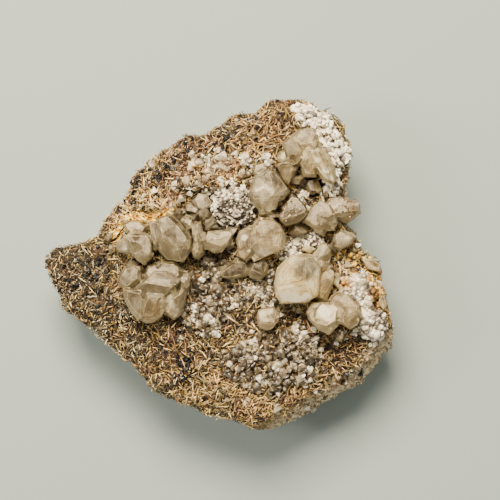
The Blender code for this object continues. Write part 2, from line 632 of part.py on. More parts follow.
def blade_places():
    """Where the coarse blades stand, spaced over the bare barite."""
    draw = random.Random(11)
    places = []
    for _ in range(BLADE_TRIES):
        x, y = draw.uniform(-50, 50), draw.uniform(-48, 48)
        if not inside_loop(x, y, OUTLINE) or not clear_of_growths(x, y, BLADE.x / 2):
            continue
        if distance_to_line(x, y, OUTLINE + OUTLINE[:1]) < BLADE.x / 2:
            continue
        if all(math.hypot(x - px, y - py) > BLADE_SPACING for px, py in places):
            places.append((x, y))
    return places


def blades_shape():
    """Tabular barite blades with chisel ends, half sunk in the plate at all angles."""
    draw = random.Random(13)
    shape = bmesh.new()
    for x, y in blade_places():
        blade = bmesh.ops.create_cube(shape, size=1.0)["verts"]
        for corner in blade:
            corner.co.x *= BLADE.x * (1.0 if corner.co.y > 0 else BLADE_NARROW)
            corner.co.y *= BLADE.y
            corner.co.z *= BLADE.z
        place = (
            Matrix.Translation((x, y, face_height(x, y) + BLADE_LIFT))
            @ Matrix.Rotation(math.radians(draw.uniform(0, 360)), 4, "Z")
            @ Matrix.Rotation(math.radians(draw.uniform(*BLADE_PITCHES)), 4, "Y")
            @ Matrix.Rotation(math.radians(draw.uniform(*BLADE_ROLLS)), 4, "X")
        )
        bmesh.ops.transform(shape, matrix=place, verts=blade)
    return shape


def near(first, second):
    """Whether the boxes round two objects meet."""
    boxes = []
    for made in (first, second):
        points = [vertex.co for vertex in made.data.vertices]
        boxes.append([(min(p[i] for p in points), max(p[i] for p in points)) for i in range(3)])
    return all(a[0] < b[1] and b[0] < a[1] for a, b in zip(*boxes))


def main():
    remove_start_objects()
    barite = stone_material("bladed barite", (0.42, 0.27, 0.14), 0.8)
    cerussite = stone_material("cerussite", (0.66, 0.57, 0.43), 0.3)
    white = stone_material("white crust", (0.80, 0.77, 0.72), 0.7)
    druse = stone_material("small pale crystals", (0.62, 0.56, 0.47), 0.4)

    plate, plate_cutter = make_plate()
    plate.data.materials.append(barite)
    nodes, cutters = [plate], []
    for name in CRYSTAL_GROUPS:
        group = crystal_group(name)
        for cutter in [plate_cutter] + cutters:
            if near(group, cutter):
                boolean(group, cutter, "DIFFERENCE")
        keep_largest_body(group)
        group.data.materials.clear()
        group.data.materials.append(cerussite)
        nodes.append(group)
        cutters.append(crystal_group(name, GAP))
    for name, crust in CRUSTS.items():
        made = new_object(name, crust_shape(crust, name))
        for cutter in [plate_cutter] + cutters:
            if near(made, cutter):
                boolean(made, cutter, "DIFFERENCE")
        keep_largest_body(made)
        made.data.materials.clear()
        made.data.materials.append(druse if name.startswith("druse") else white)
        nodes.append(made)
        cutters.append(new_object(name + "_cutter", crust_shape(crust, name, 2 * GAP)))
    blades = new_object("blades", blades_shape())
    boolean(plate, blades, "UNION")
    for helper in [plate_cutter, blades] + cutters:
        bpy.data.objects.remove(helper)
    for node in nodes:
        node.data.transform(Matrix.Scale(METRES_PER_MM, 4))


main()
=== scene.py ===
# %% [markdown]
# # Cerussite crystals on a plate of barite
# The real thing is a broken plate of grey rock. A felt of tiny barite blades covers its face,
# and on that felt grew blocky, milky crystals of cerussite, white knobbly crusts and a sprinkle of
# small pale crystals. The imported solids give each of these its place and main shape. This lesson
# builds the surface that the eye sees around them: thousands of blades, grains and crystals as
# joined meshes, and materials that are worked out from what each mineral is.

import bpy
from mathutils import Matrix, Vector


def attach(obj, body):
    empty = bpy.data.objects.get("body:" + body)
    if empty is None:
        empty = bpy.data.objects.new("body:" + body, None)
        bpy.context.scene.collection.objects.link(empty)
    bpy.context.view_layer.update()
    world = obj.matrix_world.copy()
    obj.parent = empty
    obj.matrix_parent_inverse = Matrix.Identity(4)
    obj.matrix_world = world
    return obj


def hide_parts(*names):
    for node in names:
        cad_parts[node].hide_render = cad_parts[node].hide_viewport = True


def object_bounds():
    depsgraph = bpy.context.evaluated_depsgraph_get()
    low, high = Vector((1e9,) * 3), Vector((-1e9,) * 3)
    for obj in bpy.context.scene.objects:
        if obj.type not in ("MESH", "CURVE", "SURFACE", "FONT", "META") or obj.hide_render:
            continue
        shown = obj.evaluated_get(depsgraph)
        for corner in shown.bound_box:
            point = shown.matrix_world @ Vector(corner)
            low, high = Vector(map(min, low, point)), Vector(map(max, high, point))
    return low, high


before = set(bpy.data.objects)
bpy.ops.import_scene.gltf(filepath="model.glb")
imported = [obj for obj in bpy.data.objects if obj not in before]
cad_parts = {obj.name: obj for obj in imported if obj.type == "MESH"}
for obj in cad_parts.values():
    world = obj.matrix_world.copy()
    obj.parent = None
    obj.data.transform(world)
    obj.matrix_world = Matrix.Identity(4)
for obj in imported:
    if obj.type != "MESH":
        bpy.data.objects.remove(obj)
CAD_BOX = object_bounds()
print("solids:", len(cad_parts), "box:", [tuple(round(c, 4) for c in p) for p in CAD_BOX])

# %% [markdown]
# ## Units, colours and nodes
# Blender works in metres and in linear light. Minerals are small, so sizes are written in
# millimetres times `MM`, and colours as the sRGB hex values that a colour picker shows. One
# function turns a colour to linear, and another adds a shader node with its settings and links,
# so that each material below reads as a list of what it is made of.

# %% Helpers for units, colours and nodes
import math
from collections import namedtuple

import bmesh
import bpy
import numpy as np
from mathutils import Vector, noise
from mathutils.bvhtree import BVHTree
from mathutils.kdtree import KDTree

MM = 0.001
NOISE_SEED = 7
noise.seed_set(NOISE_SEED)  # without this, the noise vectors would be other ones on each run


def linear(hex_colour):
    """The linear RGBA of an sRGB hex colour."""
    channels = [int(hex_colour[i:i + 2], 16) / 255 for i in (1, 3, 5)]
    return [c / 12.92 if c <= 0.04045 else ((c + 0.055) / 1.055) ** 2.4 for c in channels] + [1.0]


def feed(material, node, inputs):
    """Gives a node its inputs. Each is a value, or a socket to link."""
    for name, value in inputs.items():
        if isinstance(value, bpy.types.NodeSocket):
            material.node_tree.links.new(value, node.inputs[name])
        else:
            node.inputs[name].default_value = value


def add(material, kind, inputs=None, ramp=None, **settings):
    """Adds a node with its inputs and settings. A ramp is a list of stops."""
    made = material.node_tree.nodes.new(kind)
    for name, value in settings.items():
        setattr(made, name, value)
    feed(material, made, inputs or {})
    if ramp:
        stops = made.color_ramp.elements
        while len(stops) < len(ramp):
            stops.new(0.5)
        for stop, (place, colour) in zip(stops, ramp):
            stop.position = place
            stop.color = linear(colour)
    return made


def new_material(name):
    """An empty material with a Principled shader. Returns the material and the shader."""
    made = bpy.data.materials.new(name)
    made.use_nodes = True
    return made, made.node_tree.nodes["Principled BSDF"]


print("barite tan in linear light:", [round(c, 3) for c in linear("#b98a55")])

# %% [markdown]
# ## Camera
# The photograph shows the face of the plate square on, so the specimen lies on its back here and
# the camera looks straight down on it. A long lens keeps the perspective as flat as it is in the
# photograph. The picture is 142 mm wide at the height of the plate's rim.

# %% Camera
RIM_HEIGHT = 23 * MM
PICTURE_WIDTH = 142 * MM
PICTURE_MIDDLE = Vector((8.5 * MM, 4.5 * MM, RIM_HEIGHT))
CAMERA_DISTANCE = 750 * MM

camera_data = bpy.data.cameras.new("camera")
camera_data.lens = camera_data.sensor_width * CAMERA_DISTANCE / PICTURE_WIDTH
camera_data.clip_start = 10 * MM
camera = bpy.data.objects.new("camera", camera_data)
camera.location = PICTURE_MIDDLE + Vector((0, 0, CAMERA_DISTANCE))
bpy.context.scene.collection.objects.link(camera)
bpy.context.scene.camera = camera
print("lens:", round(camera_data.lens), "mm")

# %% [markdown]
# ## Floor and light
# The floor is plain, pale and matt. The light is that of a bright room: a large soft lamp beyond
# the top of the picture, which gives every blade a lit side and a brown shadow, a weaker one from
# the left that puts glints on the crystal faces, and an even sky that fills the shadows.

# %% Floor and light
def area_light(name, place, size, power, colour="#ffffff"):
    """A square lamp that points at the middle of the specimen."""
    data = bpy.data.lights.new(name, "AREA")
    data.size = size
    data.energy = power
    data.color = linear(colour)[:3]
    lamp = bpy.data.objects.new(name, data)
    lamp.location = place
    lamp.rotation_euler = (PICTURE_MIDDLE - Vector(place)).to_track_quat("-Z", "Y").to_euler()
    bpy.context.scene.collection.objects.link(lamp)


area_light("key_light", (-0.10, 0.45, 0.66), 0.36, 24.5, "#ffeccf")
area_light("side_light", (-0.55, 0.05, 0.50), 0.25, 3.5, "#fff2e0")

world = bpy.data.worlds.new("room")
world.use_nodes = True
feed(world, world.node_tree.nodes["Background"], {"Color": linear("#f3efe4"), "Strength": 0.52})
bpy.context.scene.world = world

floor_material, floor_shader = new_material("pale matt floor")
feed(floor_material, floor_shader, {"Base Color": linear("#929f9e"), "Roughness": 0.9})

floor_mesh = bpy.data.meshes.new("floor")
FLOOR = 2.0
corners = [(-FLOOR, -FLOOR, 0), (FLOOR, -FLOOR, 0), (FLOOR, FLOOR, 0), (-FLOOR, FLOOR, 0)]
floor_mesh.from_pydata(corners, [], [(0, 1, 2, 3)])
floor = bpy.data.objects.new("floor", floor_mesh)
floor_mesh.materials.append(floor_material)
bpy.context.scene.collection.objects.link(floor)

# %% [markdown]
# ## Meshes from the solids
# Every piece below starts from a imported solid, so it sits where the solid is. A copy is remeshed
# into even little squares with a voxel remesh, which gives points to push about anywhere on the
# surface. Rays cast on the solids find the places where smaller things stand. The solids
# themselves stay as they are.

# %% Solids as triangles
WELD = 0.001 * MM           # corners closer than this are one corner
HIGH_UP = 100 * MM          # above everything, where rays down start


def solid_copy(names):
    """The named solids as one triangulated mesh with its corners merged: (points, triangles)."""
    shape = bmesh.new()
    for name in names:
        shape.from_mesh(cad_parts[name].data)
    bmesh.ops.remove_doubles(shape, verts=shape.verts[:], dist=WELD)
    bmesh.ops.triangulate(shape, faces=shape.faces[:])
    points = np.array([v.co for v in shape.verts])
    triangles = np.array([[v.index for v in f.verts] for f in shape.faces])
    shape.free()
    return points, triangles


def tree_of(points, triangles):
    """A search tree for rays and nearest points."""
    return BVHTree.FromPolygons([Vector(p) for p in points], triangles.tolist())


def below(tree, x, y):
    """What a ray straight down at x, y in metres meets: (point, normal, triangle, distance)."""
    return tree.ray_cast(Vector((x, y, HIGH_UP)), Vector((0, 0, -1)))


plate_points, plate_triangles = solid_copy(["barite_plate"])
big_growths = [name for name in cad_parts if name.startswith(("cerussite", "white"))]
growth_tree = tree_of(*solid_copy(big_growths))
plate_tree = tree_of(plate_points, plate_triangles)
print("plate triangles:", len(plate_triangles), "growths:", len(big_growths))

# %% New meshes, their points and numbers
def remeshed(name, points, triangles, voxel):
    """A new mesh object of even squares over the same surface."""
    mesh = bpy.data.meshes.new(name)
    mesh.from_pydata(points, [], triangles.tolist())
    made = bpy.data.objects.new(name, mesh)
    bpy.context.scene.collection.objects.link(made)
    modifier = made.modifiers.new("remesh", "REMESH")
    modifier.mode = "VOXEL"
    modifier.voxel_size = voxel
    evaluated = made.evaluated_get(bpy.context.evaluated_depsgraph_get())
    fine = bpy.data.meshes.new_from_object(evaluated)
    made.modifiers.clear()
    made.data = fine
    bpy.data.meshes.remove(mesh)
    return made


def mesh_points(mesh):
    """The places of a mesh's points, one in a row."""
    points = np.empty(len(mesh.vertices) * 3)
    mesh.vertices.foreach_get("co", points)
    return points.reshape(-1, 3)


def mesh_normals(mesh):
    """The ways out at a mesh's points, one in a row."""
    normals = np.empty(len(mesh.vertices) * 3)
    mesh.vertices.foreach_get("normal", normals)
    return normals.reshape(-1, 3)


def move_points(mesh, points):
    """Gives the mesh new points, none of them below the floor or outside the solids' box."""
    low, high = (np.array(corner) for corner in CAD_BOX)
    mesh.vertices.foreach_set("co", np.clip(points, low, high).ravel())
    mesh.update()


def fractal(points, size, seed, octaves=3):
    """Noise from about -1 to 1 at each point, with its largest lumps of that size."""
    shift = Vector((seed * 17.3, seed * 5.1, seed * 9.7))
    return np.array([
        noise.fractal(Vector(p) / size + shift, 1.0, 2.0, octaves) for p in points
    ])


def set_number(mesh, name, values):
    """Stores one number per point, which a material can read by its name."""
    mesh.attributes.new(name, "FLOAT", "POINT").data.foreach_set("value", np.asarray(values))


print("noise at the middle:", fractal([(0, 0, 0)], 5 * MM, 1).round(2))

# %% [markdown]
# ## The rock
# Under the blades is the vein rock, broken off all round: pale grey with black specks and yellow
# stains, darker where it is weathered, with a rusty band just under the blades. A subdivided cube
# with displacement would do for a boulder. Here the plate's own solid is remeshed and roughened
# with two sizes of noise, and the face is lowered a little so that the blades stand out of it.

# %% Rock mesh
ROCK_VOXEL = 0.75 * MM
CRUST_DEPTH = 6 * MM        # how far the blades reach down the sides
BROKEN_SIDE = [Vector((14.5, -47.4)) * MM, Vector((49.7, -23.3)) * MM]
BREAK_WIDTH = 6.5 * MM      # how far in from that line the break reaches
BREAK_RISE = 5.5 * MM       # how much higher up the blades end above it


def beside_break(points):
    """1 on the steep break at the lower right, 0 away from it."""
    a, b = (np.array(end) for end in BROKEN_SIDE)
    along = (b - a) / np.linalg.norm(b - a)
    inward = np.array([-along[1], along[0]])
    depth = (points[:, :2] - a) @ inward
    share = (points[:, :2] - a) @ along / np.linalg.norm(b - a)
    near = np.clip((BREAK_WIDTH - depth) / (2.0 * MM), 0, 1)
    return near * np.clip((share + 0.02) / 0.1, 0, 1) * np.clip((1.1 - share) / 0.1, 0, 1)


def blade_cover(points, normals):
    """How thick the felt of blades is: 1 on the face, fading out down the sides."""
    edge = RIM_HEIGHT - CRUST_DEPTH + 2.0 * MM * fractal(points, 9 * MM, 1)
    edge = edge + BREAK_RISE * beside_break(points)
    cover = np.clip((points[:, 2] - edge) / (1.2 * MM), 0, 1)
    return cover * np.clip((normals[:, 2] + 0.75) / 0.3, 0, 1)


rock = remeshed("rock", plate_points, plate_triangles, ROCK_VOXEL)
points, normals = mesh_points(rock.data), mesh_normals(rock.data)
rough = 0.75 * MM * fractal(points, 5 * MM, 2) + 0.45 * MM * fractal(points, 1.8 * MM, 3)
cover = blade_cover(points, normals)
resting = np.clip(1 - points[:, 2] / (1.5 * MM), 0, 1) * 0.8
facing_up = np.clip(normals[:, 2], 0, 1)
push = rough * (1 - resting) - 0.5 * MM * cover * facing_up
move_points(rock.data, points + normals * push[:, None])
rock.data.shade_smooth()
set_number(rock.data, "cover", cover)
print("rock squares:", len(rock.data.polygons))

# %% [markdown]
# The rock's colour comes from where it is. The number `cover`, stored above, tells the material
# where the blades grow, and there the rock is a nearly black brown, a painted shade for the gaps
# deep in the felt. Elsewhere a grey that varies in patches carries black mineral specks of half a
# millimetre to a millimetre, and the stain of iron shows as a band below the blades.

# %% Rock material
# Altered limestone, broken: dull, so it gives the eye hardly any gloss, only grain and stains.
rock_material, shader = new_material("broken grey vein rock with iron stain")
place = add(rock_material, "ShaderNodeTexCoord").outputs["Object"]
patches = add(rock_material, "ShaderNodeTexNoise", {
    "Vector": place, "Scale": 1 / (11 * MM), "Detail": 6.0, "Roughness": 0.62})
grey = add(rock_material, "ShaderNodeValToRGB", {"Fac": patches.outputs["Fac"]}, ramp=[
    (0.30, "#8c8268"), (0.42, "#beb494"), (0.52, "#ecdfbc"), (0.62, "#c6c29c"), (0.72, "#eed396")])
layer_place = add(rock_material, "ShaderNodeMapping", {"Vector": place, "Scale": (1, 1, 6)})
layers = add(rock_material, "ShaderNodeTexNoise", {
    "Vector": layer_place.outputs["Vector"], "Scale": 1 / (3.0 * MM), "Detail": 8.0,
    "Roughness": 0.75})
layer_colour = add(rock_material, "ShaderNodeValToRGB", {"Fac": layers.outputs["Fac"]}, ramp=[
    (0.34, "#3a352c"), (0.42, "#b4a484"), (0.50, "#eedcb4"), (0.58, "#fff2d2"), (0.66, "#b48e5a")])
bedded = add(rock_material, "ShaderNodeMix", {
    "Factor": 0.6, "A": grey.outputs["Color"], "B": layer_colour.outputs["Color"]},
    data_type="RGBA")
grit = add(rock_material, "ShaderNodeTexVoronoi", {"Vector": place, "Scale": 1 / (1.1 * MM)})
specks = add(rock_material, "ShaderNodeValToRGB", {"Fac": grit.outputs["Distance"]}, ramp=[
    (0.24, "#ffffff"), (0.36, "#000000")])
speck_zones = add(rock_material, "ShaderNodeTexNoise", {
    "Vector": place, "Scale": 1 / (7 * MM), "Detail": 2.0})
speckled = add(rock_material, "ShaderNodeValToRGB", {"Fac": speck_zones.outputs["Fac"]}, ramp=[
    (0.44, "#000000"), (0.54, "#ffffff")])
speck_amount = add(rock_material, "ShaderNodeMath", {
    0: specks.outputs["Color"], 1: speckled.outputs["Color"]}, operation="MULTIPLY")
with_specks = add(rock_material, "ShaderNodeMix", {
    "Factor": speck_amount.outputs[0], "A": bedded.outputs["Result"], "B": linear("#23211f")},
    data_type="RGBA")
band = add(rock_material, "ShaderNodeAttribute", attribute_name="stain")
band_edge = add(rock_material, "ShaderNodeTexNoise", {
    "Vector": place, "Scale": 1 / (3 * MM), "Detail": 5.0})
stain_amount = add(rock_material, "ShaderNodeMath", {
    0: band.outputs["Fac"], 1: band_edge.outputs["Fac"]}, operation="MULTIPLY")
stained = add(rock_material, "ShaderNodeMix", {
    "Factor": stain_amount.outputs[0], "A": with_specks.outputs["Result"],
    "B": linear("#8a5a34")}, data_type="RGBA")
# under the blades the rock is nearly black brown: painted shade for the gaps deep in the felt
hidden = add(rock_material, "ShaderNodeAttribute", attribute_name="cover")
gap_noise = add(rock_material, "ShaderNodeTexNoise", {
    "Vector": place, "Scale": 1 / (2.2 * MM), "Detail": 4.0})
gap_shade_brown = add(rock_material, "ShaderNodeValToRGB", {"Fac": gap_noise.outputs["Fac"]}, ramp=[
    (0.35, "#140e09"), (0.52, "#33251a"), (0.66, "#5c452c")])
rock_colour = add(rock_material, "ShaderNodeMix", {
    "Factor": hidden.outputs["Fac"], "A": stained.outputs["Result"],
    "B": gap_shade_brown.outputs["Color"]}, data_type="RGBA")
grain = add(rock_material, "ShaderNodeTexNoise", {
    "Vector": place, "Scale": 1 / (1.2 * MM), "Detail": 8.0, "Roughness": 0.8})
grain_bump = add(rock_material, "ShaderNodeBump", {
    "Height": grain.outputs["Fac"], "Distance": 1.2 * MM, "Strength": 1.0})
grain_shade = add(rock_material, "ShaderNodeMapRange", {
    "Value": grain.outputs["Fac"], "From Min": 0.38, "From Max": 0.62, "To Min": 0.60,
    "To Max": 2.6})
grained = add(rock_material, "ShaderNodeVectorMath", {
    0: rock_colour.outputs["Result"], "Scale": grain_shade.outputs["Result"]}, operation="SCALE")
feed(rock_material, shader, {
    "Base Color": grained.outputs["Vector"],
    "Normal": grain_bump.outputs["Normal"],
    "Roughness": 0.85})

height = mesh_points(rock.data)[:, 2]
edge = RIM_HEIGHT - CRUST_DEPTH + BREAK_RISE * beside_break(points)
set_number(rock.data, "stain", np.clip(1 - np.abs(height - edge + 2 * MM) / (4 * MM), 0, 1) * 1.6)
rock.data.materials.append(rock_material)
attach(rock, "root")
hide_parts("barite_plate")
print("rock nodes:", len(rock_material.node_tree.nodes))

# %% [markdown]
# ## Scattering small things
# A particle system or instances would scatter blades in a moment, but the export keeps neither.
# So the small things are one joined mesh for each kind. A prototype is made once, and numpy
# writes a turned, scaled copy of it for every place into one long list of points. The places come
# from the rock's own squares, drawn in proportion to their area, so steep parts get their share.

# %% Places and turns
def surface_samples(mesh, count, draw, weight):
    """Random places over a mesh with even density where weight is 1: (points, normals)."""
    mesh.calc_loop_triangles()
    corners = np.empty(len(mesh.loop_triangles) * 3, dtype=np.int32)
    mesh.loop_triangles.foreach_get("vertices", corners)
    corners = corners.reshape(-1, 3)
    points = mesh_points(mesh)[corners]
    cross = np.cross(points[:, 1] - points[:, 0], points[:, 2] - points[:, 0])
    area = np.linalg.norm(cross, axis=1)
    normals = cross / np.maximum(area, 1e-15)[:, None]
    chance = area * weight(points.mean(axis=1), normals)
    chosen = draw.choice(len(corners), size=count, p=chance / chance.sum())
    shares = draw.dirichlet((1, 1, 1), size=count)
    return (points[chosen] * shares[:, :, None]).sum(axis=1), normals[chosen]


def bunches(places, draw):
    """A way for each place that its neighbours nearly share, so that things lie in bunches."""
    common = np.array([noise.noise_vector(Vector(p) / (3.5 * MM)) for p in places])
    common /= np.maximum(np.linalg.norm(common, axis=1), 1e-6)[:, None]
    return common + draw.normal(scale=0.6, size=common.shape)


def turned_frames(normals, draw, pitch, roll, ways=None):
    """A random turn for each place: matrices whose columns are length, width and thickness.

    Pitch and roll are the spreads, in radians, about lying flat on the surface. The length lies
    square to the given ways, or to random ones.
    """
    count = len(normals)
    along = np.cross(normals, draw.normal(size=(count, 3)) if ways is None else ways)
    along /= np.linalg.norm(along, axis=1)[:, None]
    across = np.cross(normals, along)
    lift = draw.normal(scale=pitch, size=count)[:, None]
    along, up = (along * np.cos(lift) + normals * np.sin(lift),
                 normals * np.cos(lift) - along * np.sin(lift))
    twist = draw.normal(scale=roll, size=count)[:, None]
    across, up = (across * np.cos(twist) + up * np.sin(twist),
                  up * np.cos(twist) - across * np.sin(twist))
    return np.stack([along, across, up], axis=2)


def uneven_sizes(count, span, shape, draw):
    """Three sizes for each thing: its own size in millimetres, times a shape number each way."""
    return draw.uniform(*span, size=(count, 1)) * draw.uniform(*shape, size=(count, 3)) * MM


one_turn = turned_frames(np.array([[0, 0, 1.0]]), np.random.default_rng(1), 0.1, 0.1)
print("a turn about straight up:", one_turn.round(2).tolist())

# %% One mesh from many copies
def scattered(name, prototypes, places, frames, sizes, draw):
    """One mesh with a copy of a random prototype at each place, its faces flat.

    Sizes are three numbers for each place. Also returns which place each point belongs to.
    """
    which = draw.integers(len(prototypes), size=len(places))
    all_points, all_faces, owners, offset = [], [], [], 0
    for number, (shape, faces) in enumerate(prototypes):
        mine = np.flatnonzero(which == number)
        scaled = shape[None] * sizes[mine][:, None]
        placed = np.einsum("nij,nkj->nki", frames[mine], scaled) + places[mine][:, None]
        all_points.append(placed.reshape(-1, 3))
        steps = offset + np.arange(len(mine))[:, None, None] * len(shape)
        all_faces.append((faces[None] + steps).reshape(-1, 3))
        owners.append(np.repeat(mine, len(shape)))
        offset += len(mine) * len(shape)
    low, high = (np.array(corner) for corner in CAD_BOX)
    all_points = np.clip(np.concatenate(all_points), low, high)
    all_faces = np.concatenate(all_faces)
    mesh = bpy.data.meshes.new(name)
    mesh.vertices.add(len(all_points))
    mesh.vertices.foreach_set("co", all_points.ravel())
    mesh.loops.add(all_faces.size)
    mesh.loops.foreach_set("vertex_index", all_faces.ravel().astype(np.int32))
    mesh.polygons.add(len(all_faces))
    mesh.polygons.foreach_set("loop_start", np.arange(len(all_faces), dtype=np.int32) * 3)
    mesh.update(calc_edges=True)
    mesh.validate()
    mesh.shade_flat()
    made = bpy.data.objects.new(name, mesh)
    bpy.context.scene.collection.objects.link(made)
    return made, np.concatenate(owners)


print("copies stay within:", [tuple(round(c, 3) for c in corner) for corner in CAD_BOX])

# %% Hulls, and what lies on top
def hull(points):
    """The convex hull of some points as a prototype: (points, triangles)."""
    shape = bmesh.new()
    for point in points:
        shape.verts.new(point)
    found = bmesh.ops.convex_hull(shape, input=shape.verts[:])
    unused = [part for part in found["geom_interior"] if isinstance(part, bmesh.types.BMVert)]
    bmesh.ops.delete(shape, geom=unused, context="VERTS")
    bmesh.ops.triangulate(shape, faces=shape.faces[:])
    shape.verts.index_update()
    made = (np.array([v.co for v in shape.verts]),
            np.array([[v.index for v in f.verts] for f in shape.faces]))
    shape.free()
    return made


def on_top(x, y):
    """The highest point of the plate and the growths at x, y in millimetres, and its normal."""
    hits = [below(tree, x * MM, y * MM)[:2] for tree in (plate_tree, growth_tree)]
    return max((hit for hit in hits if hit[0] is not None), key=lambda hit: hit[0].z)


def not_covered(places, normals, reach):
    """Which places have no growth over them within that reach."""
    return np.array([
        growth_tree.ray_cast(Vector(p), Vector(n), reach)[0] is None
        for p, n in zip(places, normals)
    ])


def free_places(mesh, count, draw, weight, reach):
    """Random places on a mesh that have no growth over them within that reach."""
    places, normals = surface_samples(mesh, count, draw, weight)
    free = not_covered(places, normals, reach)
    return places[free], normals[free]


print("highest at the middle:", round(on_top(0, 0)[0].z / MM, 1), "mm")

# %% [markdown]
# ## Barite blades
# Barite grows here as a felt of thin blades, one to five millimetres long, that lie across one
# another at all angles. A blade is a long plate with chisel ends and a slight bow, so the
# prototype is a strip of rings along a shallow arc. There are long blades and, between them,
# short chips and fine slivers, and each keeps two numbers: its tone, and how rusty the felt is
# where it stands. Spots on the face make the felt rusty, golden or dark, as it is on the real one.

# %% Blade prototypes
def bowed_blade(rise, bend, taper):
    """A blade one unit long, wide and thick, bowed upwards and bent sideways, with chisel ends."""
    rings = [(-0.5, taper), (-0.2, 1.0), (0.2, 1.0), (0.5, taper)]
    points, faces = [], []
    for x, wide in rings:
        arc = 1 - (2 * x) ** 2
        for y, z in ((-0.5, -0.5), (0.5, -0.5), (0.5, 0.5), (-0.5, 0.5)):
            points.append((x, y * wide + bend * arc, z * wide + rise * arc))
    for ring in range(len(rings) - 1):
        for side in range(4):
            a, b = ring * 4 + side, ring * 4 + (side + 1) % 4
            faces += [(a, b, b + 4), (a, b + 4, a + 4)]
    last = len(points) - 4
    faces += [(0, 2, 1), (0, 3, 2), (last, last + 1, last + 2), (last, last + 2, last + 3)]
    return np.array(points), np.array(faces)


def chip(taper):
    """A short plain blade of one unit."""
    points = [(x, y * (1 if x < 0 else taper), z) for x in (-0.5, 0.5)
              for y, z in ((-0.5, -0.5), (0.5, -0.5), (0.5, 0.5), (-0.5, 0.5))]
    faces = [(0, 2, 1), (0, 3, 2), (4, 5, 6), (4, 6, 7)]
    for side in range(4):
        a, b = side, (side + 1) % 4
        faces += [(a, b, b + 4), (a, b + 4, a + 4)]
    return np.array(points), np.array(faces)


def sliver():
    """A thin pointed blade of one unit with only four triangles."""
    points = [(-0.5, -0.5, 0), (-0.5, 0.5, 0), (0.5, 0, -0.5), (0.5, 0, 0.5)]
    return np.array(points), np.array([(0, 2, 1), (0, 1, 3), (0, 3, 2), (1, 2, 3)])


long_blades = [bowed_blade(rise, bend, taper) for rise, bend, taper in (
    (0.2, 0.9, 0.35), (1.2, 0.4, 0.5), (2.4, 1.3, 0.3), (-0.8, -0.6, 0.4), (0.0, 0.1, 0.5))]
chips = [chip(0.5), chip(0.85)]
print("triangles of a long blade:", len(long_blades[0][1]), "of a chip:", len(chips[0][1]))

# %% Where the felt is rusty, golden or dark
# Each spot: its middle and reach in millimetres, and how it shifts rust and light.
Spot = namedtuple("Spot", "x y reach rust light")
FELT_SPOTS = [
    Spot(-42, 0, 14, -0.10, -0.14),      # the left arm is a little greyer and darker
    Spot(-26, -20, 12, -0.10, -0.04),
    Spot(-10, -24, 10, 0.35, -0.15),     # brown below the cluster
    Spot(4, -16, 7, 0.25, -0.18), Spot(-16, 24, 12, 0.20, -0.10), Spot(-4, 25, 10, 0.20, -0.14),
    Spot(14, -44, 10, 0.30, 0.14),       # golden at the lower tip
    Spot(-8, -38, 10, 0.10, 0.10),
    Spot(16, 42, 16, 0.28, 0.06),        # golden at the top
    Spot(-4, 34, 10, 0.25, 0.02),
    Spot(-18, 15, 6, 0.08, 0.80),        # the bright golden lip
    Spot(-27, 12, 5, 0.12, 0.50),
    Spot(-30, 14, 7, 0.10, 0.05),
    Spot(-32, 18, 4, 0.50, -0.05),       # rust along the upper left rim
    Spot(-27, 25, 3, 0.35, 0.05), Spot(-14, 37, 4, 0.45, 0.00),
    Spot(36, -6, 7, 0.45, 0.10),         # rust on the right side
    Spot(44, -8, 6, 0.50, 0.20),
    Spot(33, -24, 7, 0.35, -0.38),       # brown felt, darkened with painted shade in the hollow at the lower right
    Spot(36, -30, 6, 0.10, 0.16), Spot(26, -38, 6, 0.15, 0.14),
    Spot(22, -16, 8, 0.20, -0.15),
    Spot(0, -6, 9, 0.00, -0.20),
    Spot(24, 20, 7, 0.10, -0.35),
]


def felt_values(places):
    """How rusty and how light the felt is at each place, both about 0 to 1."""
    rust = 0.44 + 0.34 * fractal(places, 7 * MM, 5, 2) + 0.18 * fractal(places, 2 * MM, 7, 1)
    light = 0.36 + 0.18 * fractal(places, 5 * MM, 6, 2) + 0.12 * fractal(places, 2 * MM, 8, 1)
    for spot in FELT_SPOTS:
        gap = np.hypot(places[:, 0] - spot.x * MM, places[:, 1] - spot.y * MM)
        weight = np.exp(-((gap / (spot.reach * MM)) ** 2))
        rust += spot.rust * weight
        light += spot.light * weight
    return np.clip(rust, 0, 1), np.clip(light, 0, 1)


print("spots:", len(FELT_SPOTS))

# %% Blade material
# Barite that iron has stained: a pearly, slightly waxy mineral with an IOR of 1.64, so the
# flat sides catch a soft highlight while the thin edges stay dark.
blade_material, shader = new_material("iron-stained barite blades")
tone = add(blade_material, "ShaderNodeAttribute", attribute_name="tone")
rust = add(blade_material, "ShaderNodeAttribute", attribute_name="rust")
clean_barite = add(blade_material, "ShaderNodeValToRGB", {"Fac": tone.outputs["Fac"]}, ramp=[
    (0.0, "#16140f"), (0.25, "#423c2e"), (0.5, "#746d58"), (0.75, "#aca486"), (1.0, "#f4e8c4")])
golden_barite = add(blade_material, "ShaderNodeValToRGB", {"Fac": tone.outputs["Fac"]}, ramp=[
    (0.0, "#15110a"), (0.25, "#4a3b1e"), (0.5, "#8e7436"), (0.75, "#cca852"), (1.0, "#fce08e")])
brown_barite = add(blade_material, "ShaderNodeValToRGB", {"Fac": tone.outputs["Fac"]}, ramp=[
    (0.0, "#140e0a"), (0.25, "#402d1e"), (0.5, "#725039"), (0.75, "#a87e58"), (1.0, "#ecc592")])
gold_share = add(blade_material, "ShaderNodeMapRange", {
    "Value": rust.outputs["Fac"], "From Min": 0.15, "From Max": 0.5})
brown_share = add(blade_material, "ShaderNodeMapRange", {
    "Value": rust.outputs["Fac"], "From Min": 0.55, "From Max": 0.9})
paler_blades = add(blade_material, "ShaderNodeMix", {
    "Factor": gold_share.outputs["Result"], "A": clean_barite.outputs["Color"],
    "B": golden_barite.outputs["Color"]}, data_type="RGBA")
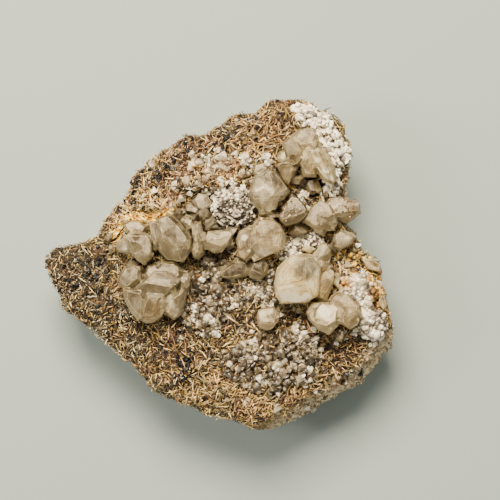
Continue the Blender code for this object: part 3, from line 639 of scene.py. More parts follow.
blade_colour = add(blade_material, "ShaderNodeMix", {
    "Factor": brown_share.outputs["Result"], "A": paler_blades.outputs["Result"],
    "B": brown_barite.outputs["Color"]}, data_type="RGBA")
place = add(blade_material, "ShaderNodeTexCoord").outputs["Object"]
mottle = add(blade_material, "ShaderNodeTexNoise", {
    "Vector": place, "Scale": 1 / (0.5 * MM), "Detail": 3.0})
mottle_range = add(blade_material, "ShaderNodeMapRange", {
    "Value": mottle.outputs["Fac"], "From Min": 0.3, "From Max": 0.7, "To Min": 0.60,
    "To Max": 1.25})
mottled = add(blade_material, "ShaderNodeVectorMath", {
    0: blade_colour.outputs["Result"], "Scale": mottle_range.outputs["Result"]},
    operation="SCALE")
feed(blade_material, shader, {
    "Base Color": mottled.outputs["Vector"],
    "Roughness": 0.5,
    "IOR": 1.64})
print("blade colours from", len(FELT_SPOTS), "spots")

# %% Grow the felt
def blade_length(places):
    """How long the blades are, as a share: short on the left arm, longest at the lower tip."""
    along = np.clip((places[:, 0] / MM + 45) / 40, 0, 1)
    return 0.55 + 0.5 * along


def felt(name, ground, weight, prototypes, count, lengths, widths, thicknesses, spread, seed):
    """One mesh of blades on a ground. Lengths, widths and thicknesses are smallest and largest.

    Spread is how far above and below the ground they lie, in millimetres. Deep ones are darker:
    painted shade between the blades, and dust and iron that collect there.
    """
    draw = np.random.default_rng(seed)
    places, normals = free_places(ground, count, draw, weight, 1.2 * MM)
    level = draw.uniform(-1, 1, size=len(places))
    lying = np.clip(normals[:, 2], 0.25, 1)
    frames = turned_frames(normals, draw, 0.30 * lying, 1.0, bunches(places, draw))
    sizes = np.stack([draw.uniform(*span, size=len(places)) for span in (
        lengths, widths, thicknesses)], axis=1) * MM
    sizes[:, :2] *= blade_length(places)[:, None] ** (1.0, 0.6)
    lift = (level * spread + 0.1) * MM
    made, owners = scattered(
        name, prototypes, places + normals * lift[:, None], frames, sizes, draw)
    rust_here, light_here = felt_values(places)
    # deep blades get a darker tone: painted shade deep in the felt, with dust
    tones = light_here + 0.56 * level + draw.gamma(0.8, 0.42, size=len(places)) - 0.38
    rust_here = np.clip(rust_here + draw.normal(scale=0.28, size=len(places)), 0, 1)
    set_number(made.data, "tone", np.clip(tones, 0, 1)[owners])
    set_number(made.data, "rust", rust_here[owners])
    made.data.shade_smooth()
    made.data.materials.append(blade_material)
    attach(made, "root")
    print(name, len(places), "blades,", len(made.data.polygons), "triangles")


felt("long_barite_blades", rock.data, blade_cover, long_blades, 6900,
     (1.8, 5.2), (0.18, 0.38), (0.10, 0.18), 0.70, 21)
felt("short_barite_blades", rock.data, blade_cover, chips, 8000,
     (0.5, 1.6), (0.20, 0.42), (0.12, 0.22), 0.45, 22)
felt("fine_barite_blades", rock.data, blade_cover, [sliver()], 36000,
     (1.0, 3.0), (0.16, 0.34), (0.12, 0.24), 0.70, 23)

# %% [markdown]
# ## Cerussite crystals
# Cerussite is lead carbonate. Its crystals here are blocky and milky, a centimetre or so across,
# with broad flat faces, fine growth steps and little faces along worn edges. A bevel would round
# every edge in the same way. Here the solid is remeshed, its points go back onto the flat faces,
# random planes cut little faces at the edges, and the shading breaks where two faces meet. Each
# point also learns how far in from an edge it lies, because growth steps run parallel to the
# edges, and which face it lies on, because each face shows another part of the cloudy inside.

# %% Where crystals are darker, paler, frosted, painted with glints, or specked
# Each spot: its middle and reach in millimetres, and how much it adds there.
ShadeSpot = namedtuple("ShadeSpot", "x y reach amount")
SHADE_SPOTS = [             # paler or browner than the rest of the group
    ShadeSpot(24.3, -0.5, 3.6, -1.00), ShadeSpot(21.0, -7.6, 4.4, 0.35),
    ShadeSpot(29.5, 3.5, 3.4, -0.90), ShadeSpot(31.0, -4.0, 3.0, -0.60),
    ShadeSpot(7.5, 8.0, 3.5, -0.15), ShadeSpot(11.0, 3.6, 2.4, -0.35),
    ShadeSpot(17.5, 34.0, 4.5, -0.35), ShadeSpot(28.5, 28.0, 3.0, 0.35),
    ShadeSpot(24.5, 37.0, 3.0, -0.20), ShadeSpot(-27.0, 10.5, 4.0, 0.20),
    ShadeSpot(-26.0, -6.0, 3.0, -0.2), ShadeSpot(-15.0, -12.0, 4.0, 0.25),
    ShadeSpot(-16.5, -1.5, 5.5, -0.60), ShadeSpot(-19.0, -12.5, 5.0, 0.35),
]
GLINT_AND_SCUFF_SPOTS = [             # painted glints and glow, and white scuffs and bruises on the worn faces
    ShadeSpot(18.4, -8.6, 1.6, 0.95), ShadeSpot(21.2, -9.2, 1.7, 1.00),
    ShadeSpot(24.4, -8.8, 1.6, 1.00), ShadeSpot(22.0, -6.6, 1.1, 0.55),
    ShadeSpot(19.3, -6.8, 0.6, 0.70), ShadeSpot(17.3, -3.0, 1.6, 0.48),
    ShadeSpot(6.9, 8.0, 1.3, 0.64), ShadeSpot(8.3, 4.2, 0.6, 0.80),
    ShadeSpot(11.7, 13.2, 0.6, 0.60), ShadeSpot(25.8, 32.1, 0.6, 0.80),
    ShadeSpot(28.4, 31.8, 0.5, 0.60), ShadeSpot(29.8, 26.8, 1.4, 0.75),
    ShadeSpot(27.4, 29.6, 1.2, 0.62), ShadeSpot(31.2, 24.6, 1.1, 0.70),
    ShadeSpot(10.4, 21.1, 0.6, 0.80), ShadeSpot(11.4, 21.6, 0.6, 0.85),
    ShadeSpot(12.2, 22.0, 0.4, 0.75), ShadeSpot(-1.2, 7.6, 0.6, 0.70),
    ShadeSpot(-22.8, -16.0, 0.9, 0.60), ShadeSpot(29.8, -13.4, 2.4, 0.72),
    ShadeSpot(28.2, -11.8, 1.0, 0.70), ShadeSpot(-26.4, 4.6, 0.8, 0.55),
]
SPECKED_SPOTS = [           # with little rust-filled pits
    ShadeSpot(19.2, 15.8, 2.8, 1.0), ShadeSpot(36.4, 16.8, 2.8, 1.0),
    ShadeSpot(33.0, 15.0, 1.6, 0.5),
]
# the direction halfway between straight up and the key light
GLINT_WAY = np.array(Vector((-0.108, 0.445, 0.637)).normalized() + Vector((0, 0, 1)))
GLINT_WAY /= np.linalg.norm(GLINT_WAY)


def spot_sum(points, spots):
    """What the spots add up to at each point."""
    total = np.zeros(len(points))
    for spot in spots:
        gap = np.hypot(points[:, 0] - spot.x * MM, points[:, 1] - spot.y * MM)
        total += spot.amount * np.exp(-((gap / (spot.reach * MM)) ** 4))
    return total


print("spots:", len(SHADE_SPOTS) + len(GLINT_AND_SCUFF_SPOTS) + len(SPECKED_SPOTS))

# %% Edges and faces of a crystal
CRYSTAL_VOXEL = 0.34 * MM
SHARP = math.radians(14)    # an edge of the solid that counts as one
CREASE = math.radians(12)   # where the shading of the fine mesh breaks
CUT_EVERY = 50              # one cut for so many points along the edges


def sharp_edges(name, spacing, convex):
    """Points along the convex or the concave edges of a solid, and the way out at each."""
    shape = bmesh.new()
    shape.from_mesh(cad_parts[name].data)
    bmesh.ops.remove_doubles(shape, verts=shape.verts[:], dist=WELD)
    found, ways = [], []
    for edge in shape.edges:
        if edge.is_manifold and edge.is_convex == convex and edge.calc_face_angle() > SHARP:
            steps = max(1, int(edge.calc_length() / spacing))
            a, b = (v.co.copy() for v in edge.verts)
            found += [a.lerp(b, (i + 0.5) / steps) for i in range(steps)]
            ways += [(edge.link_faces[0].normal + edge.link_faces[1].normal).normalized()] * steps
    shape.free()
    return np.array(found), np.array(ways)


def nearest(points, targets):
    """The nearest target to each point: (places, distances). With no targets, all are far off."""
    if not len(targets):
        return points, np.full(len(points), 1.0)
    tree = KDTree(len(targets))
    for number, target in enumerate(targets):
        tree.insert(target, number)
    tree.balance()
    found = [tree.find(Vector(p)) for p in points]
    return np.array([hit[0] for hit in found]), np.array([hit[2] for hit in found])


def face_numbers(shape, triangles_hit):
    """Numbers the flat faces of a solid, and gives the number for each triangle that was hit."""
    corners = shape[0][shape[1]]
    ways = np.cross(corners[:, 1] - corners[:, 0], corners[:, 2] - corners[:, 0])
    ways /= np.linalg.norm(ways, axis=1)[:, None]
    level = (ways * corners[:, 0]).sum(axis=1) / MM
    # triangles whose way out and level round to the same numbers lie on one face
    planes = np.round(np.column_stack([ways * 20, level * 2]))
    numbers = np.unique(planes, axis=0, return_inverse=True)[1].ravel()
    return numbers[triangles_hit]


def cut(points, spot, way, reach):
    """Shaves the points near a spot down to the plane through it that faces that way."""
    over = (points - spot) @ way
    near = (np.linalg.norm(points - spot, axis=1) < reach) & (over > 0)
    points[near] -= over[near][:, None] * way


print("voxel of the crystals:", CRYSTAL_VOXEL / MM, "mm")

# %% One group of crystals
def crystals(name, node, seed, shade, glint=None):
    """The fine mesh of one group of crystals.

    Shade goes from -1, dark, through 0, brownish, to 1, pale. Glint is the x, y and reach in
    millimetres of one more face, turned so that the key light is mirrored in it.
    """
    draw = np.random.default_rng(seed)
    shape = solid_copy([node])
    made = remeshed(name, *shape, CRYSTAL_VOXEL)
    tree = tree_of(*shape)
    hits = [tree.find_nearest(Vector(p)) for p in mesh_points(made.data)]
    points = np.array([hit[0] for hit in hits])
    faces = face_numbers(shape, [hit[2] for hit in hits])
    rims, ways = sharp_edges(node, 0.2 * MM, True)
    edges, inward = nearest(points, rims)
    # points close to an edge go onto it, which keeps it crisp
    points = np.where((inward < 0.45 * CRYSTAL_VOXEL)[:, None], edges, points)
    _, from_joint = nearest(points, sharp_edges(node, 0.2 * MM, False)[0])
    # little faces along the worn edges
    for number in draw.choice(len(rims), len(rims) // CUT_EVERY):
        way = ways[number] + draw.normal(scale=0.2, size=3)
        way /= np.linalg.norm(way)
        depth = draw.uniform(0.10, 0.30) * MM
        cut(points, rims[number] - way * depth, way, draw.uniform(1.0, 2.6) * MM)
    if glint:
        x, y, reach = glint
        spot = below(tree, x * MM, y * MM)[0]
        cut(points, np.array(spot) - GLINT_WAY * 0.6 * MM, GLINT_WAY, reach * MM)
    move_points(made.data, points)
    normals = mesh_normals(made.data)
    dents = 0.02 * MM * fractal(points, 1.5 * MM, seed + 1)
    move_points(made.data, points + normals * dents[:, None])
    made.data.shade_smooth()
    made.data.set_sharp_from_angle(angle=CREASE)
    # steep sides turned down the picture, away from the key light, are paled in the material: a
    # painted glow, as if light came through
    away = np.clip(0.2 - normals[:, 1], 0, 1) * np.clip(1.1 - normals[:, 2], 0, 1)
    numbers = {
        "inward": inward / MM,
        "through": np.clip(0.8 * away, 0, 1),
        "joint": np.exp(-((from_joint / (0.5 * MM)) ** 2)),
        "face": draw.uniform(-1, 1, size=faces.max() + 1)[faces],
        "shade": np.clip(shade + spot_sum(points, SHADE_SPOTS), -1, 1),
        "glint_and_frost": np.clip(spot_sum(points, GLINT_AND_SCUFF_SPOTS), 0, 1),
        "specked": np.clip(spot_sum(points, SPECKED_SPOTS), 0, 1),
    }
    for label, values in numbers.items():
        set_number(made.data, label, values)
    made.data.materials.append(cerussite_material)
    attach(made, "root")
    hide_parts(node)
    print(name, len(made.data.polygons), "squares")


print("one cut for", CUT_EVERY, "points along the edges")

# %% Cerussite material
# Milky cerussite: part of the light goes straight through and shows the dark ground under the
# crystal, and part of it scatters inside, which gives a cloudy middle. Pale edges, and a paler
# side turned from the key light as if lit through, are painted into the colour below.
cerussite_material, shader = new_material("milky cerussite crystal")
place = add(cerussite_material, "ShaderNodeTexCoord").outputs["Object"]
# How cloudy the inside is: clouds, shifted for each group, each face and each growth block
cloud = add(cerussite_material, "ShaderNodeTexNoise", {
    "Vector": place, "Scale": 1 / (4.5 * MM), "Detail": 6.0, "Roughness": 0.60,
    "Distortion": 1.0})
shade = add(cerussite_material, "ShaderNodeAttribute", attribute_name="shade")
shade_step = add(cerussite_material, "ShaderNodeMapRange", {
    "Value": shade.outputs["Fac"], "From Min": -1.0, "To Min": -0.24, "To Max": 0.10})
face = add(cerussite_material, "ShaderNodeAttribute", attribute_name="face")
face_step = add(cerussite_material, "ShaderNodeMath", {
    0: face.outputs["Fac"], 1: 0.06, 2: shade_step.outputs["Result"]}, operation="MULTIPLY_ADD")
cloud_here = add(cerussite_material, "ShaderNodeMath", {
    0: cloud.outputs["Fac"], 1: face_step.outputs[0]}, operation="ADD")

BLOCK_SIZE = 4.2 * MM
blocks = add(cerussite_material, "ShaderNodeTexVoronoi", {
    "Vector": place, "Scale": 1 / BLOCK_SIZE})
block_rims = add(cerussite_material, "ShaderNodeTexVoronoi", {
    "Vector": place, "Scale": 1 / BLOCK_SIZE}, feature="DISTANCE_TO_EDGE")
block_tone = add(cerussite_material, "ShaderNodeSeparateColor", {"Color": blocks.outputs["Color"]})
blocky = add(cerussite_material, "ShaderNodeMath", {
    0: block_tone.outputs["Red"], 1: 0.10, 2: cloud_here.outputs[0]}, operation="MULTIPLY_ADD")

# Growth steps run parallel to the edges and wander a little, and fine wisps lie between them
inward = add(cerussite_material, "ShaderNodeAttribute", attribute_name="inward")
wander = add(cerussite_material, "ShaderNodeTexNoise", {
    "Vector": place, "Scale": 1 / (2.5 * MM), "Detail": 1.0})
step_place = add(cerussite_material, "ShaderNodeMath", {
    0: wander.outputs["Fac"], 1: 0.7, 2: inward.outputs["Fac"]}, operation="MULTIPLY_ADD")
step_count = add(cerussite_material, "ShaderNodeMath", {
    0: step_place.outputs[0], 1: 1.2}, operation="MULTIPLY")
steps = add(cerussite_material, "ShaderNodeMath", {0: step_count.outputs[0]}, operation="FRACT")
fine_cloud = add(cerussite_material, "ShaderNodeTexNoise", {
    "Vector": place, "Scale": 1 / (1.0 * MM), "Detail": 6.0, "Roughness": 0.8})
wispy = add(cerussite_material, "ShaderNodeMath", {
    0: fine_cloud.outputs["Fac"], 1: 0.36, 2: blocky.outputs[0]}, operation="MULTIPLY_ADD")
lined = add(cerussite_material, "ShaderNodeMath", {
    0: steps.outputs[0], 1: -0.11, 2: wispy.outputs[0]}, operation="MULTIPLY_ADD")
cloud_level = add(cerussite_material, "ShaderNodeMath", {
    0: lined.outputs[0], 1: 0.20}, operation="SUBTRACT")

# Dark groups run from smoky brown to grey white, pale ones from tan to cream
smoky = add(cerussite_material, "ShaderNodeValToRGB", {"Fac": cloud_level.outputs[0]}, ramp=[
    (0.24, "#3e3121"), (0.37, "#70634c"), (0.50, "#a29882"), (0.61, "#c6bea6"), (0.73, "#ece6d4")])
creamy = add(cerussite_material, "ShaderNodeValToRGB", {"Fac": cloud_level.outputs[0]}, ramp=[
    (0.36, "#84683c"), (0.44, "#b49962"), (0.51, "#d6be88"), (0.58, "#f4e1aa"), (0.66, "#fff5ce")])
milky = add(cerussite_material, "ShaderNodeMix", {
    "Factor": shade.outputs["Fac"], "A": smoky.outputs["Color"], "B": creamy.outputs["Color"]},
    data_type="RGBA")
print("nodes for the inside:", len(cerussite_material.node_tree.nodes))

# %% Pale edges, dark joints and frost
# Worn edges, the rims of the growth blocks and some growth steps are pale lines. The pale edges
# are partly wear and partly a painted highlight, where light scatters at thin edges.
worn = add(cerussite_material, "ShaderNodeTexNoise", {
    "Vector": place, "Scale": 1 / (1.6 * MM), "Detail": 3.0})
worn_share = add(cerussite_material, "ShaderNodeMapRange", {
    "Value": worn.outputs["Fac"], "From Min": 0.35, "From Max": 0.6, "To Min": 0.15,
    "To Max": 0.75})
pale_edge_and_highlight = add(cerussite_material, "ShaderNodeMapRange", {
    "Value": inward.outputs["Fac"], "From Min": 0.10, "From Max": 0.28,
    "To Min": worn_share.outputs["Result"], "To Max": 0.0})
rim_amount = add(cerussite_material, "ShaderNodeMapRange", {
    "Value": block_rims.outputs["Distance"], "From Min": 0.015, "From Max": 0.045,
    "To Min": 0.15, "To Max": 0.0})
growth_line = add(cerussite_material, "ShaderNodeMapRange", {
    "Value": steps.outputs[0], "From Min": 0.74, "From Max": 0.92, "To Min": 0.0, "To Max": 0.22})
broken_line = add(cerussite_material, "ShaderNodeMapRange", {
    "Value": cloud.outputs["Fac"], "From Min": 0.44, "From Max": 0.54})
growth_amount = add(cerussite_material, "ShaderNodeMath", {
    0: growth_line.outputs["Result"], 1: broken_line.outputs["Result"]}, operation="MULTIPLY")
outline_amount = add(cerussite_material, "ShaderNodeMath", {
    0: pale_edge_and_highlight.outputs["Result"], 1: rim_amount.outputs["Result"]}, operation="MAXIMUM")
line_amount = add(cerussite_material, "ShaderNodeMath", {
    0: outline_amount.outputs[0], 1: growth_amount.outputs[0]}, operation="MAXIMUM")
# painted glow: the pale colour on sides turned from the key light stands in for light coming
# through
through = add(cerussite_material, "ShaderNodeAttribute", attribute_name="through")
pale_lines_and_glow = add(cerussite_material, "ShaderNodeMath", {
    0: line_amount.outputs[0], 1: through.outputs["Fac"]}, operation="MAXIMUM")
with_edges_and_glow = add(cerussite_material, "ShaderNodeMix", {
    "Factor": pale_lines_and_glow.outputs[0], "A": milky.outputs["Result"],
    "B": linear("#f8e8b4")}, data_type="RGBA")

# Brown where two crystals meet, white where a face is scuffed and where glints are painted, and
# dark in the etched pits
joint = add(cerussite_material, "ShaderNodeAttribute", attribute_name="joint")
joint_amount = add(cerussite_material, "ShaderNodeMath", {
    0: joint.outputs["Fac"], 1: 0.42}, operation="MULTIPLY")
with_joints = add(cerussite_material, "ShaderNodeMix", {
    "Factor": joint_amount.outputs[0], "A": with_edges_and_glow.outputs["Result"],
    "B": linear("#5a4226")}, data_type="RGBA")
glint_and_frost = add(cerussite_material, "ShaderNodeAttribute", attribute_name="glint_and_frost")
frost_share = add(cerussite_material, "ShaderNodeMath", {
    0: worn.outputs["Fac"], 1: glint_and_frost.outputs["Fac"]}, operation="ADD")
glint_and_frost_amount = add(cerussite_material, "ShaderNodeMapRange", {
    "Value": frost_share.outputs[0], "From Min": 0.98, "From Max": 1.12})
with_glints_and_frost = add(cerussite_material, "ShaderNodeMix", {
    "Factor": glint_and_frost_amount.outputs["Result"], "A": with_joints.outputs["Result"],
    "B": linear("#fff4dc")}, data_type="RGBA")
specked = add(cerussite_material, "ShaderNodeAttribute", attribute_name="specked")
pit_cells = add(cerussite_material, "ShaderNodeTexVoronoi", {
    "Vector": place, "Scale": 1 / (1.15 * MM)})
pit_shape = add(cerussite_material, "ShaderNodeMapRange", {
    "Value": pit_cells.outputs["Distance"], "From Min": 0.30, "From Max": 0.42, "To Min": 1.0,
    "To Max": 0.0})
pits = add(cerussite_material, "ShaderNodeMath", {
    0: pit_shape.outputs["Result"], 1: specked.outputs["Fac"]}, operation="MULTIPLY")
with_pits = add(cerussite_material, "ShaderNodeMix", {
    "Factor": pits.outputs[0], "A": with_glints_and_frost.outputs["Result"], "B": linear("#5a3c22")},
    data_type="RGBA")
print("nodes for the colour:", len(cerussite_material.node_tree.nodes))

# %% Relief and light in the crystals
# Each growth block is tilted a few degrees, and the steps and a fine frost lie on top of that
block_tilt = add(cerussite_material, "ShaderNodeVectorMath", {
    0: blocks.outputs["Color"], 1: (0.5, 0.5, 0.5)}, operation="SUBTRACT")
in_block = add(cerussite_material, "ShaderNodeVectorMath", {
    0: place, 1: blocks.outputs["Position"]}, operation="SUBTRACT")
block_slope = add(cerussite_material, "ShaderNodeVectorMath", {
    0: block_tilt.outputs["Vector"], 1: in_block.outputs["Vector"]}, operation="DOT_PRODUCT")
block_height = add(cerussite_material, "ShaderNodeMath", {
    0: block_slope.outputs["Value"], 1: 1 / MM}, operation="MULTIPLY")
block_bump = add(cerussite_material, "ShaderNodeBump", {
    "Height": block_height.outputs[0], "Distance": 0.14 * MM, "Strength": 1.0})
frost = add(cerussite_material, "ShaderNodeTexNoise", {
    "Vector": place, "Scale": 1 / (0.5 * MM), "Detail": 4.0, "Roughness": 0.6})
step_bump = add(cerussite_material, "ShaderNodeBump", {
    "Height": steps.outputs[0], "Distance": 0.10 * MM, "Strength": 0.8,
    "Normal": block_bump.outputs["Normal"]})
frost_bump = add(cerussite_material, "ShaderNodeBump", {
    "Height": frost.outputs["Fac"], "Distance": 0.09 * MM, "Strength": 0.7,
    "Normal": step_bump.outputs["Normal"]})

# The worn, frosted faces hardly mirror the room, so the specular level is low. What they do
# mirror is tinted warm, because a neutral reflection looks lilac beside the cream of the inside.
feed(cerussite_material, shader, {
    "Base Color": with_pits.outputs["Result"],
    "Normal": frost_bump.outputs["Normal"],
    "IOR": 1.85,
    "Specular IOR Level": 0.02,
    "Specular Tint": linear("#f0e4cc"),
    "Roughness": 0.36,
    "Transmission Weight": 0.60,
    "Subsurface Weight": 0.6,
    "Subsurface Radius": (1.0, 0.82, 0.58),
    "Subsurface Scale": 0.35 * MM})
print("cerussite nodes:", len(cerussite_material.node_tree.nodes))

# %% Grow the crystals
crystals("large_crystal", "cerussite_large", 31, 0.95)
crystals("glinting_pair", "cerussite_glinting_pair", 32, 0.45, glint=(30, -13.3, 3.4))
crystals("hexagonal_crystal", "cerussite_hexagonal", 33, 0.40)
crystals("domed_crystal", "cerussite_domed", 134, 0.02)
crystals("fan_crystals", "cerussite_fan", 35, 0.35)
crystals("etched_crystal", "cerussite_etched", 36, -0.95)
crystals("overhanging_crystals", "cerussite_overhanging", 37, 0.10)
crystals("left_crystal", "cerussite_left", 38, -0.12)
crystals("row_crystals", "cerussite_row", 39, 0.15)
crystals("far_left_crystals", "cerussite_far_left", 40, 0.02)
crystals("crystal_cluster", "cerussite_cluster", 41, -0.15)
crystals("flat_pair", "cerussite_flat_pair", 42, -0.7)
crystals("grey_right_crystal", "cerussite_grey_right", 43, -0.35)
crystals("round_crystal", "cerussite_round", 44, 0.2)
crystals("grey_left_crystal", "cerussite_grey_left", 45, -0.4)
crystals("hollow_crystal", "cerussite_in_hollow", 46, -0.2)
crystals("right_edge_tablet", "cerussite_right_edge", 47, 0.6)
crystals("lower_edge_tablet", "cerussite_lower_edge", 48, 0.5)

# %% [markdown]
# ## Companion crystals
# Smaller crystals, two to six millimetres long, lean against the large ones, some brown and clear
# and some white. They are the same mineral in the same blocky habit, so the prototypes are a few
# slanted blocks with a narrower roof. The list says where each crystal stands, how long and wide
# it is, which way it points, how far it rises and how pale it is.

# %% Slanted blocks
def slanted_block(draw):
    """A blocky crystal one unit long, wide and high: four or five sides and a slanted roof."""
    sides = draw.integers(4, 6)
    turns = (np.arange(sides) + draw.uniform(-0.25, 0.25, size=sides)) * math.tau / sides
    corners = np.column_stack([np.cos(turns), np.sin(turns)]) * 0.55
    slant = draw.uniform(-0.35, 0.35, size=2)
    roof = corners * draw.uniform(0.35, 0.75) + draw.uniform(-0.12, 0.12, size=2)
    rows = [(corners, -0.5), (corners, 0.10), (roof, 0.38)]
    return hull([(x, y, height + (x * slant[0] + y * slant[1]) * (height > 0))
                 for row, height in rows for x, y in row])


print("points of a block:", len(slanted_block(np.random.default_rng(1))[0]))

# %% Companion crystals
Companion = namedtuple("Companion", "x y length width turn rise shade")
COMPANIONS = [
    Companion(-5.2, 18.0, 6.2, 5.2, 80, 3.2, -0.3), Companion(-7.9, 16.4, 5.4, 3.6, 150, 3.0, -0.5),
    Companion(-4.2, 14.4, 6.0, 4.6, 95, 3.8, -0.6), Companion(-8.6, 12.8, 6.4, 5.0, 60, 3.8, -0.6),
    Companion(-11.6, 14.8, 4.4, 3.2, 120, 3.6, -0.3), Companion(-9.4, 9.4, 4.4, 3.0, 80, 4.0, -0.3),
    Companion(3.2, 9.6, 4.4, 3.4, 20, 3.6, -0.1), Companion(-2.6, 11.8, 4.6, 3.4, 70, 3.2, -0.5),
    Companion(-1.6, 11.0, 3.4, 1.8, 160, 2.6, 0.05), Companion(4.8, 10.6, 3.0, 1.8, 40, 2.8, 0.10),
    Companion(25.2, 4.8, 3.4, 2.4, 10, 3.4, 1.00), Companion(1.2, -1.2, 3.6, 2.6, 15, 2.2, 0.20),
    Companion(-13.6, 14.6, 2.6, 1.8, 35, 3.0, 0.90), Companion(17.4, 30.6, 4.0, 2.2, 60, 4.0, 0.50),
    Companion(12.2, 16.6, 3.4, 2.2, 130, 3.4, 0.10), Companion(21.0, 13.4, 4.6, 2.2, 20, 2.4, 0.20),
    Companion(24.6, -9.4, 3.4, 2.2, 70, 2.6, 0.70), Companion(32.8, -4.8, 3.2, 2.0, 110, 3.2, 0.80),
    Companion(34.2, -20.2, 3.4, 2.2, 30, 2.4, 0.6), Companion(21.0, -21.0, 2.8, 1.8, 120, 1.6, 0.4),
    Companion(-30.6, 4.8, 3.0, 2.0, 70, 2.2, 0.4), Companion(-26.6, 12.6, 3.0, 2.2, 150, 3.0, 0.6),
    Companion(-20.4, 1.2, 2.6, 1.6, 40, 2.4, 0.00), Companion(-8.0, -6.0, 3.0, 2.2, 60, 1.8, 0.20),
    Companion(0.4, -2.0, 3.4, 2.4, 100, 1.8, 0.15), Companion(6.4, -1.6, 3.4, 2.4, 30, 1.8, 0.10),
    Companion(3.2, -3.8, 3.0, 2.2, 150, 1.6, 0.30), Companion(41.4, -13.0, 3.2, 2.0, 80, 2.0, 0.50),
    Companion(33.6, 11.4, 3.0, 1.8, 100, 2.0, 0.10), Companion(22.0, 24.4, 4.4, 2.8, 30, 3.2, 0.30),
    Companion(27.4, 22.4, 4.2, 2.0, 120, 3.6, 0.60), Companion(29.8, 19.8, 3.0, 2.0, 60, 2.6, 0.20),
    Companion(16.6, 18.6, 4.6, 3.2, 40, 4.2, 0.15), Companion(21.8, 10.0, 5.4, 4.0, 10, 5.4, 0.10),
    Companion(24.6, 13.6, 4.2, 3.4, 60, 4.4, 0.25), Companion(19.4, 27.2, 4.6, 3.4, 70, 4.6, 0.20),
    Companion(28.4, 10.2, 4.6, 3.2, 150, 4.8, 0.4), Companion(14.6, 14.6, 4.4, 2.8, 170, 3.4, 0.15),
    Companion(-19.6, 6.6, 4.2, 2.2, 80, 4.2, 0.10), Companion(-6.4, 6.6, 3.6, 2.4, 90, 3.8, 0.15),
    Companion(3.0, 6.2, 3.8, 2.4, 70, 3.6, 0.10), Companion(31.6, 5.0, 4.0, 3.0, 60, 3.6, 0.05),
    Companion(30.4, -0.4, 3.8, 3.0, 80, 3.4, 0.05), Companion(29.0, -9.0, 3.4, 2.2, 100, 4.0, 0.50),
    Companion(-31.4, 7.8, 3.6, 2.6, 60, 2.6, 0.10), Companion(-24.6, 0.6, 3.6, 2.4, 20, 3.0, 0.10),
]

companion_draw = np.random.default_rng(58)
slanted_blocks = [slanted_block(companion_draw) for _ in range(9)]
places, frames, sizes = [], [], []
for one in COMPANIONS:
    ground = below(plate_tree, one.x * MM, one.y * MM)[0]
    lean = (Vector((0, 0, 1)) + 0.22 * Vector(companion_draw.normal(size=3))).normalized()
    along = Vector((math.cos(math.radians(one.turn)), math.sin(math.radians(one.turn)), 0))
    across = lean.cross(along).normalized()
    places.append(ground + Vector((0, 0, (one.rise - 1.5) * MM)))
    frames.append(np.array([across.cross(lean), across, lean]).T)
    sizes.append((one.length, one.width, 3.0 + 0.3 * one.rise))
companions, owners = scattered(
    "companion_crystals", slanted_blocks, np.array(places), np.array(frames),
    np.array(sizes) * MM, companion_draw)
shades = np.array([one.shade for one in COMPANIONS])[owners]
set_number(companions.data, "shade", shades)
set_number(companions.data, "inward", np.full(len(owners), 0.6))
set_number(companions.data, "face", companion_draw.uniform(-1, 1, size=len(COMPANIONS))[owners])
for label in ("through", "joint", "glint_and_frost", "specked"):
    set_number(companions.data, label, np.zeros(len(owners)))
companions.data.materials.append(cerussite_material)
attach(companions, "root")
print("companions:", len(COMPANIONS), "triangles:", len(companions.data.polygons))

# %% [markdown]
# ## White crusts
# The white crusts are botryoidal, like the surface of a cauliflower: knobs one to three
# millimetres across, each covered with buds of a third of a millimetre to a millimetre or so, with
# grey gaps between the knobs. Displacing one sheet gives soft hills without gaps. Here the knobs
# are placed on the solid, then ten or so buds on each knob, palest at its top and darker towards
# its foot as painted shade, and short bent ridges between them. Iron has stained the right crust
# brown along the rim.

# %% Buds and rolls
def bud(draw, fineness, roughness):
    """A slightly uneven little sphere."""
    shape = bmesh.new()
    bmesh.ops.create_icosphere(shape, subdivisions=fineness, radius=0.5)
    points = np.array([v.co for v in shape.verts])
    faces = np.array([[v.index for v in f.verts] for f in shape.faces])
    shape.free()
    return points * (1 + draw.normal(scale=roughness, size=(len(points), 1))), faces


def ridge(draw, rings=5, sides=6):
    """A bent, lumpy roll, one unit long, wide and high."""
    bend = draw.uniform(-0.7, 0.7)
    points, faces = [], []
    for x in np.linspace(-0.5, 0.5, rings):
        wide = 0.5 * draw.uniform(0.75, 1.1) * (1 - 0.75 * (2 * x) ** 4)
        for number in range(sides):
            angle = math.tau * number / sides
            points.append((x, wide * math.cos(angle) + bend * (1 - 4 * x * x),
                           wide * math.sin(angle)))
    for start in range(0, (rings - 1) * sides, sides):
        for number in range(sides):
            a, b = start + number, start + (number + 1) % sides
            faces += [(a, b + sides, b), (a, a + sides, b + sides)]
    last = (rings - 1) * sides
    for number in range(1, sides - 1):
        faces += [(0, number, number + 1), (last, last + number + 1, last + number)]
    return np.array(points), np.array(faces)


# Uneven spheres for buds and for the hearts of the knobs, and rolls for the ridges
bud_draw = np.random.default_rng(51)
buds = [bud(bud_draw, 1, 0.16) for _ in range(8)]
cores = [bud(bud_draw, 2, 0.11) for _ in range(4)]
rolls = [ridge(bud_draw) for _ in range(8)]
print("bud triangles:", len(buds[0][1]), "roll triangles:", len(rolls[0][1]))

# %% Places on a crust
def base_of(name, node, voxel, sink, seed, material):
    """The rough ground under a crust or druse, a little below the solid's surface."""
    made = remeshed(name, *solid_copy([node]), voxel)
    points, normals = mesh_points(made.data), mesh_normals(made.data)
    push = 0.35 * MM * fractal(points, 1.5 * MM, seed) - sink
    move_points(made.data, points + normals * push[:, None])
    made.data.shade_smooth()
    made.data.materials.append(material)
    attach(made, "root")
    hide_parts(node)
    return made


